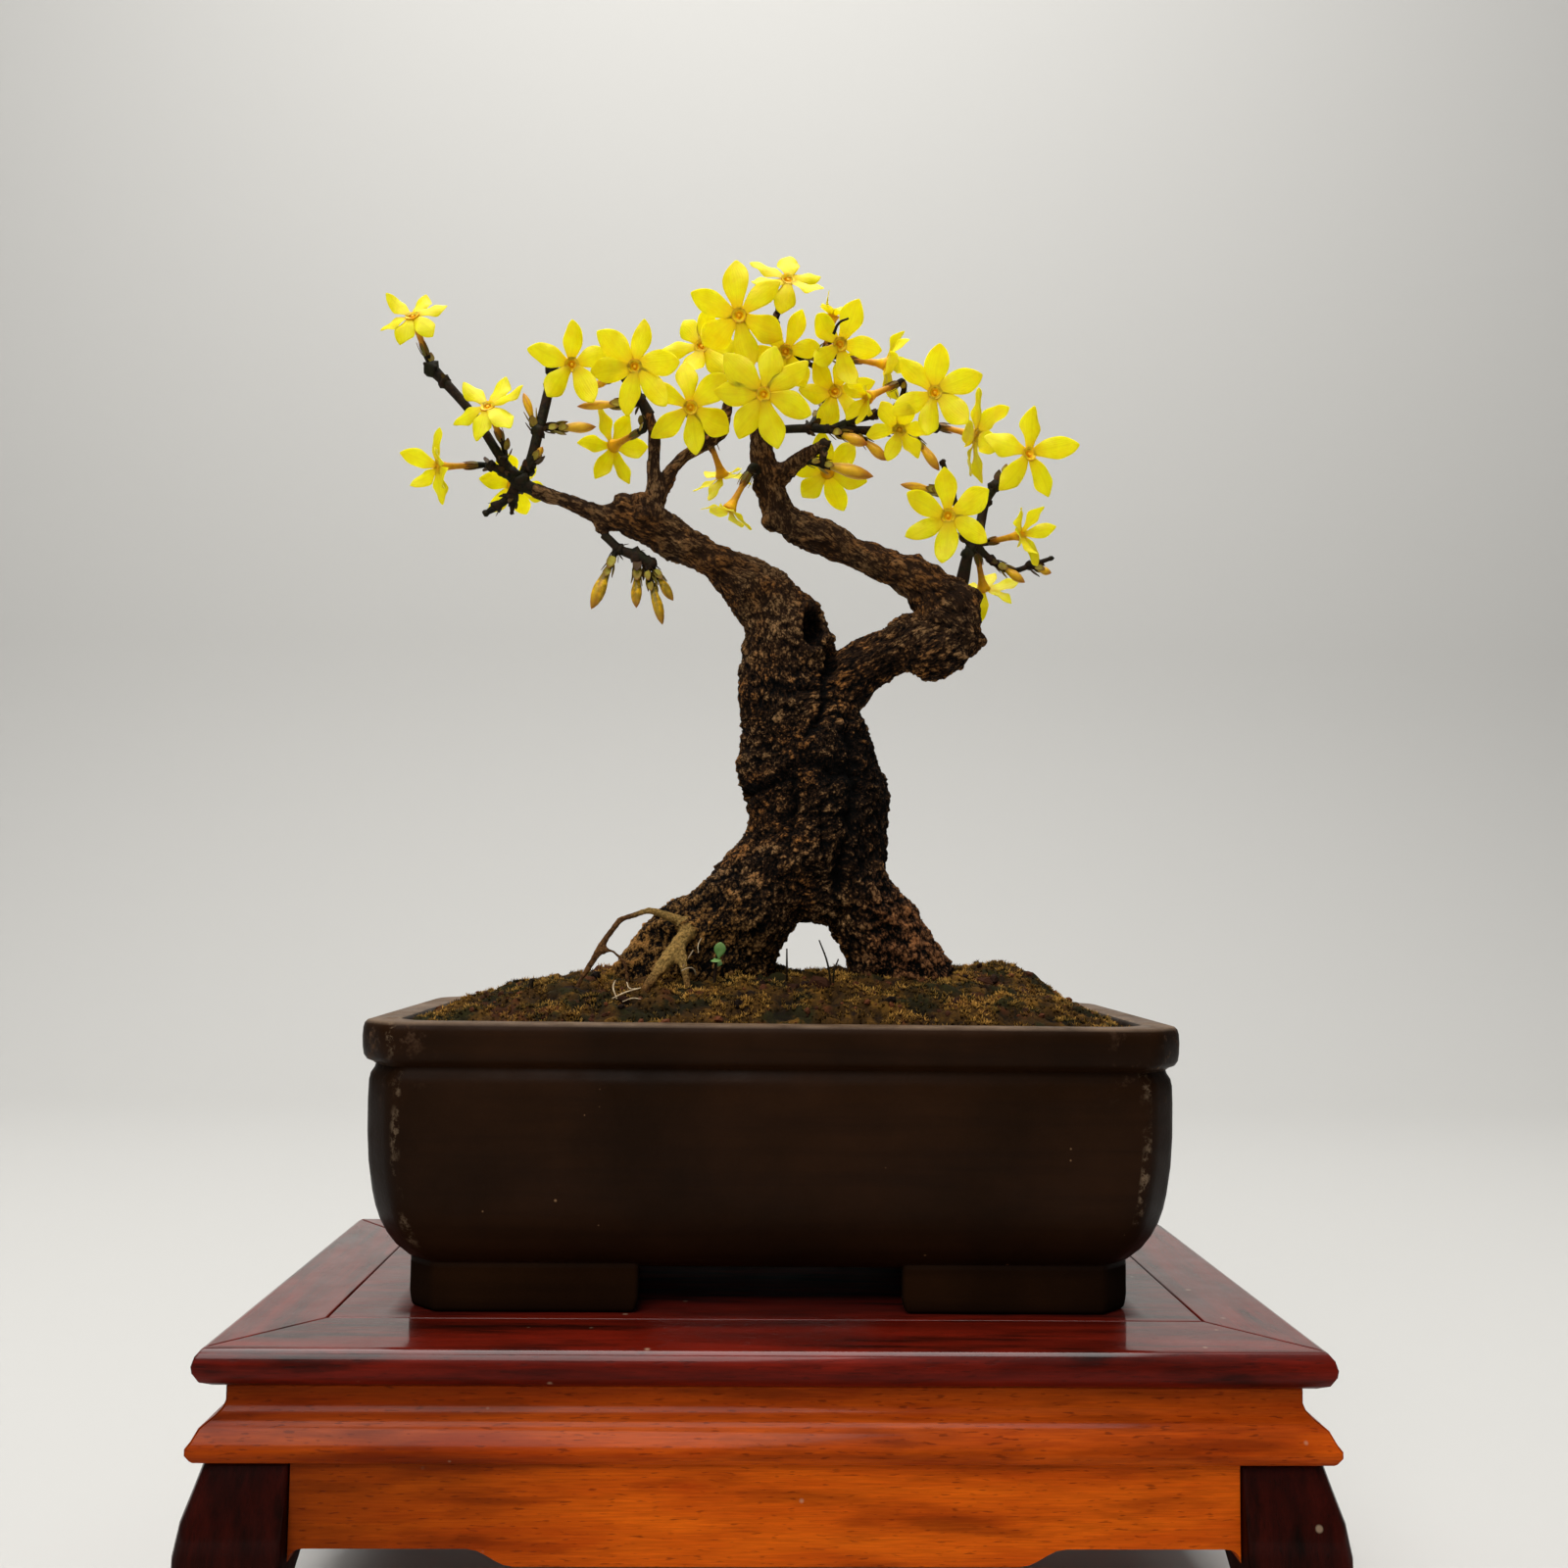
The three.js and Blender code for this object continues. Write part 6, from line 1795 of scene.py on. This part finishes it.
seat(make_seedling(), "leaf", "seedling")
seat(make_threads("dry_sprouts", SPROUTS), "shoot")
seat(smooth(make_stem("dried_style", STYLE), 60), "shoot")
seat(smooth(make_stem("soil_twig", TWIG), 60), "bark")
root_pale = make_green("pale rootlets", srgb(196, 176, 142), srgb(134, 108, 78), srgb(134, 108, 78))
seat(paint(make_threads("pale_rootlets", ROOTLETS), root_pale), "bark")
for model in [*petal_models, tube_model, bud_model, sepal_model, bract_model, scale_model,
              round_leaf_model, knob_model]:
    bpy.data.objects.remove(model)


# %% [markdown]
# ## Backdrop and light
# The object stands before a plain pale wall under a bright overcast sky: a broad soft light from
# above, a weaker one from a window at the front left, a strip that lights the wall, and a weak
# even light from everywhere. The floor runs up into the wall in one curve, made by extruding a
# line of points sideways, so there is no corner to see.

# %% Backdrop and light
WALL_HALF = 2.6
FLOOR_FRONT, FLOOR_BACK = -2.2, 1.0
WALL_BEND, WALL_TOP = 0.5, 2.6
DAYLIGHT = (1.0, 0.99, 0.97)
# Each light: name, place, what it is aimed at, size in metres and power in watts.
LIGHTS = [("sky", (-0.1, 0.1, 2.1), (0, 0.1, 0.2), (2.0, 1.4), 49),
          ("window", (-0.5, -1.4, 1.6), (0, 0, 0.25), (1.3, 1.1), 26),
          ("wall_light", (0.2, 0.2, 2.4), (0.1, 1.5, 0.9), (3.4, 0.5), 15)]


def make_backdrop():
    bend = [(FLOOR_BACK + WALL_BEND * math.sin(a), WALL_BEND - WALL_BEND * math.cos(a))
            for a in np.linspace(0.1, math.pi / 2, 12)]
    profile = [(FLOOR_FRONT, 0.0), (FLOOR_BACK, 0.0), *bend, (FLOOR_BACK + WALL_BEND, WALL_TOP)]
    made = new_line("backdrop", [(-WALL_HALF, y, z) for y, z in profile])
    with editing(made):
        bpy.ops.mesh.extrude_edges_move(TRANSFORM_OT_translate={"value": (2 * WALL_HALF, 0, 0)})
        bpy.ops.mesh.select_all(action="SELECT")
        bpy.ops.mesh.normals_make_consistent(inside=False)
    material, tree, shader = new_material("plain wall")
    wire(tree, shader, Base_Color=srgb(188, 187, 184), Roughness=0.95)
    return smooth(paint(made, material), 60)


def add_area(name, place, aim, size, power):
    bpy.ops.object.light_add(type="AREA", location=place)
    light = bpy.context.object
    light.name = name
    light.data.shape = "RECTANGLE"
    light.data.size, light.data.size_y = size
    light.data.energy = power
    light.data.color = DAYLIGHT
    light.rotation_euler = (Vector(aim) - Vector(place)).to_track_quat("-Z", "Y").to_euler()
    return light


backdrop = make_backdrop()
sky, window, wall_light = [add_area(*light) for light in LIGHTS]
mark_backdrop(backdrop, sky, window, wall_light)
world = bpy.data.worlds.new("overcast")
bpy.context.scene.world = world
world.use_nodes = True
background = world.node_tree.nodes["Background"]
background.inputs["Color"].default_value = srgb(226, 228, 230)
background.inputs["Strength"].default_value = 0.1
bpy.context.scene.view_settings.view_transform = "Standard"
print("lights:", sky.name, window.name, wall_light.name)


# %% [markdown]
# ## Size
# Both boxes, that of the imported object and that of the dressed one, are measured and printed.
# The dressed object has to stay inside the imported one.

# %% Size
low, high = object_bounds()
boxes = {"cad": [list(CAD_LOW), list(CAD_HIGH)], "visual": [list(low), list(high)]}
for name, box in boxes.items():
    print(name, "box in mm:", [[round(x / MM, 1) for x in corner] for corner in box])
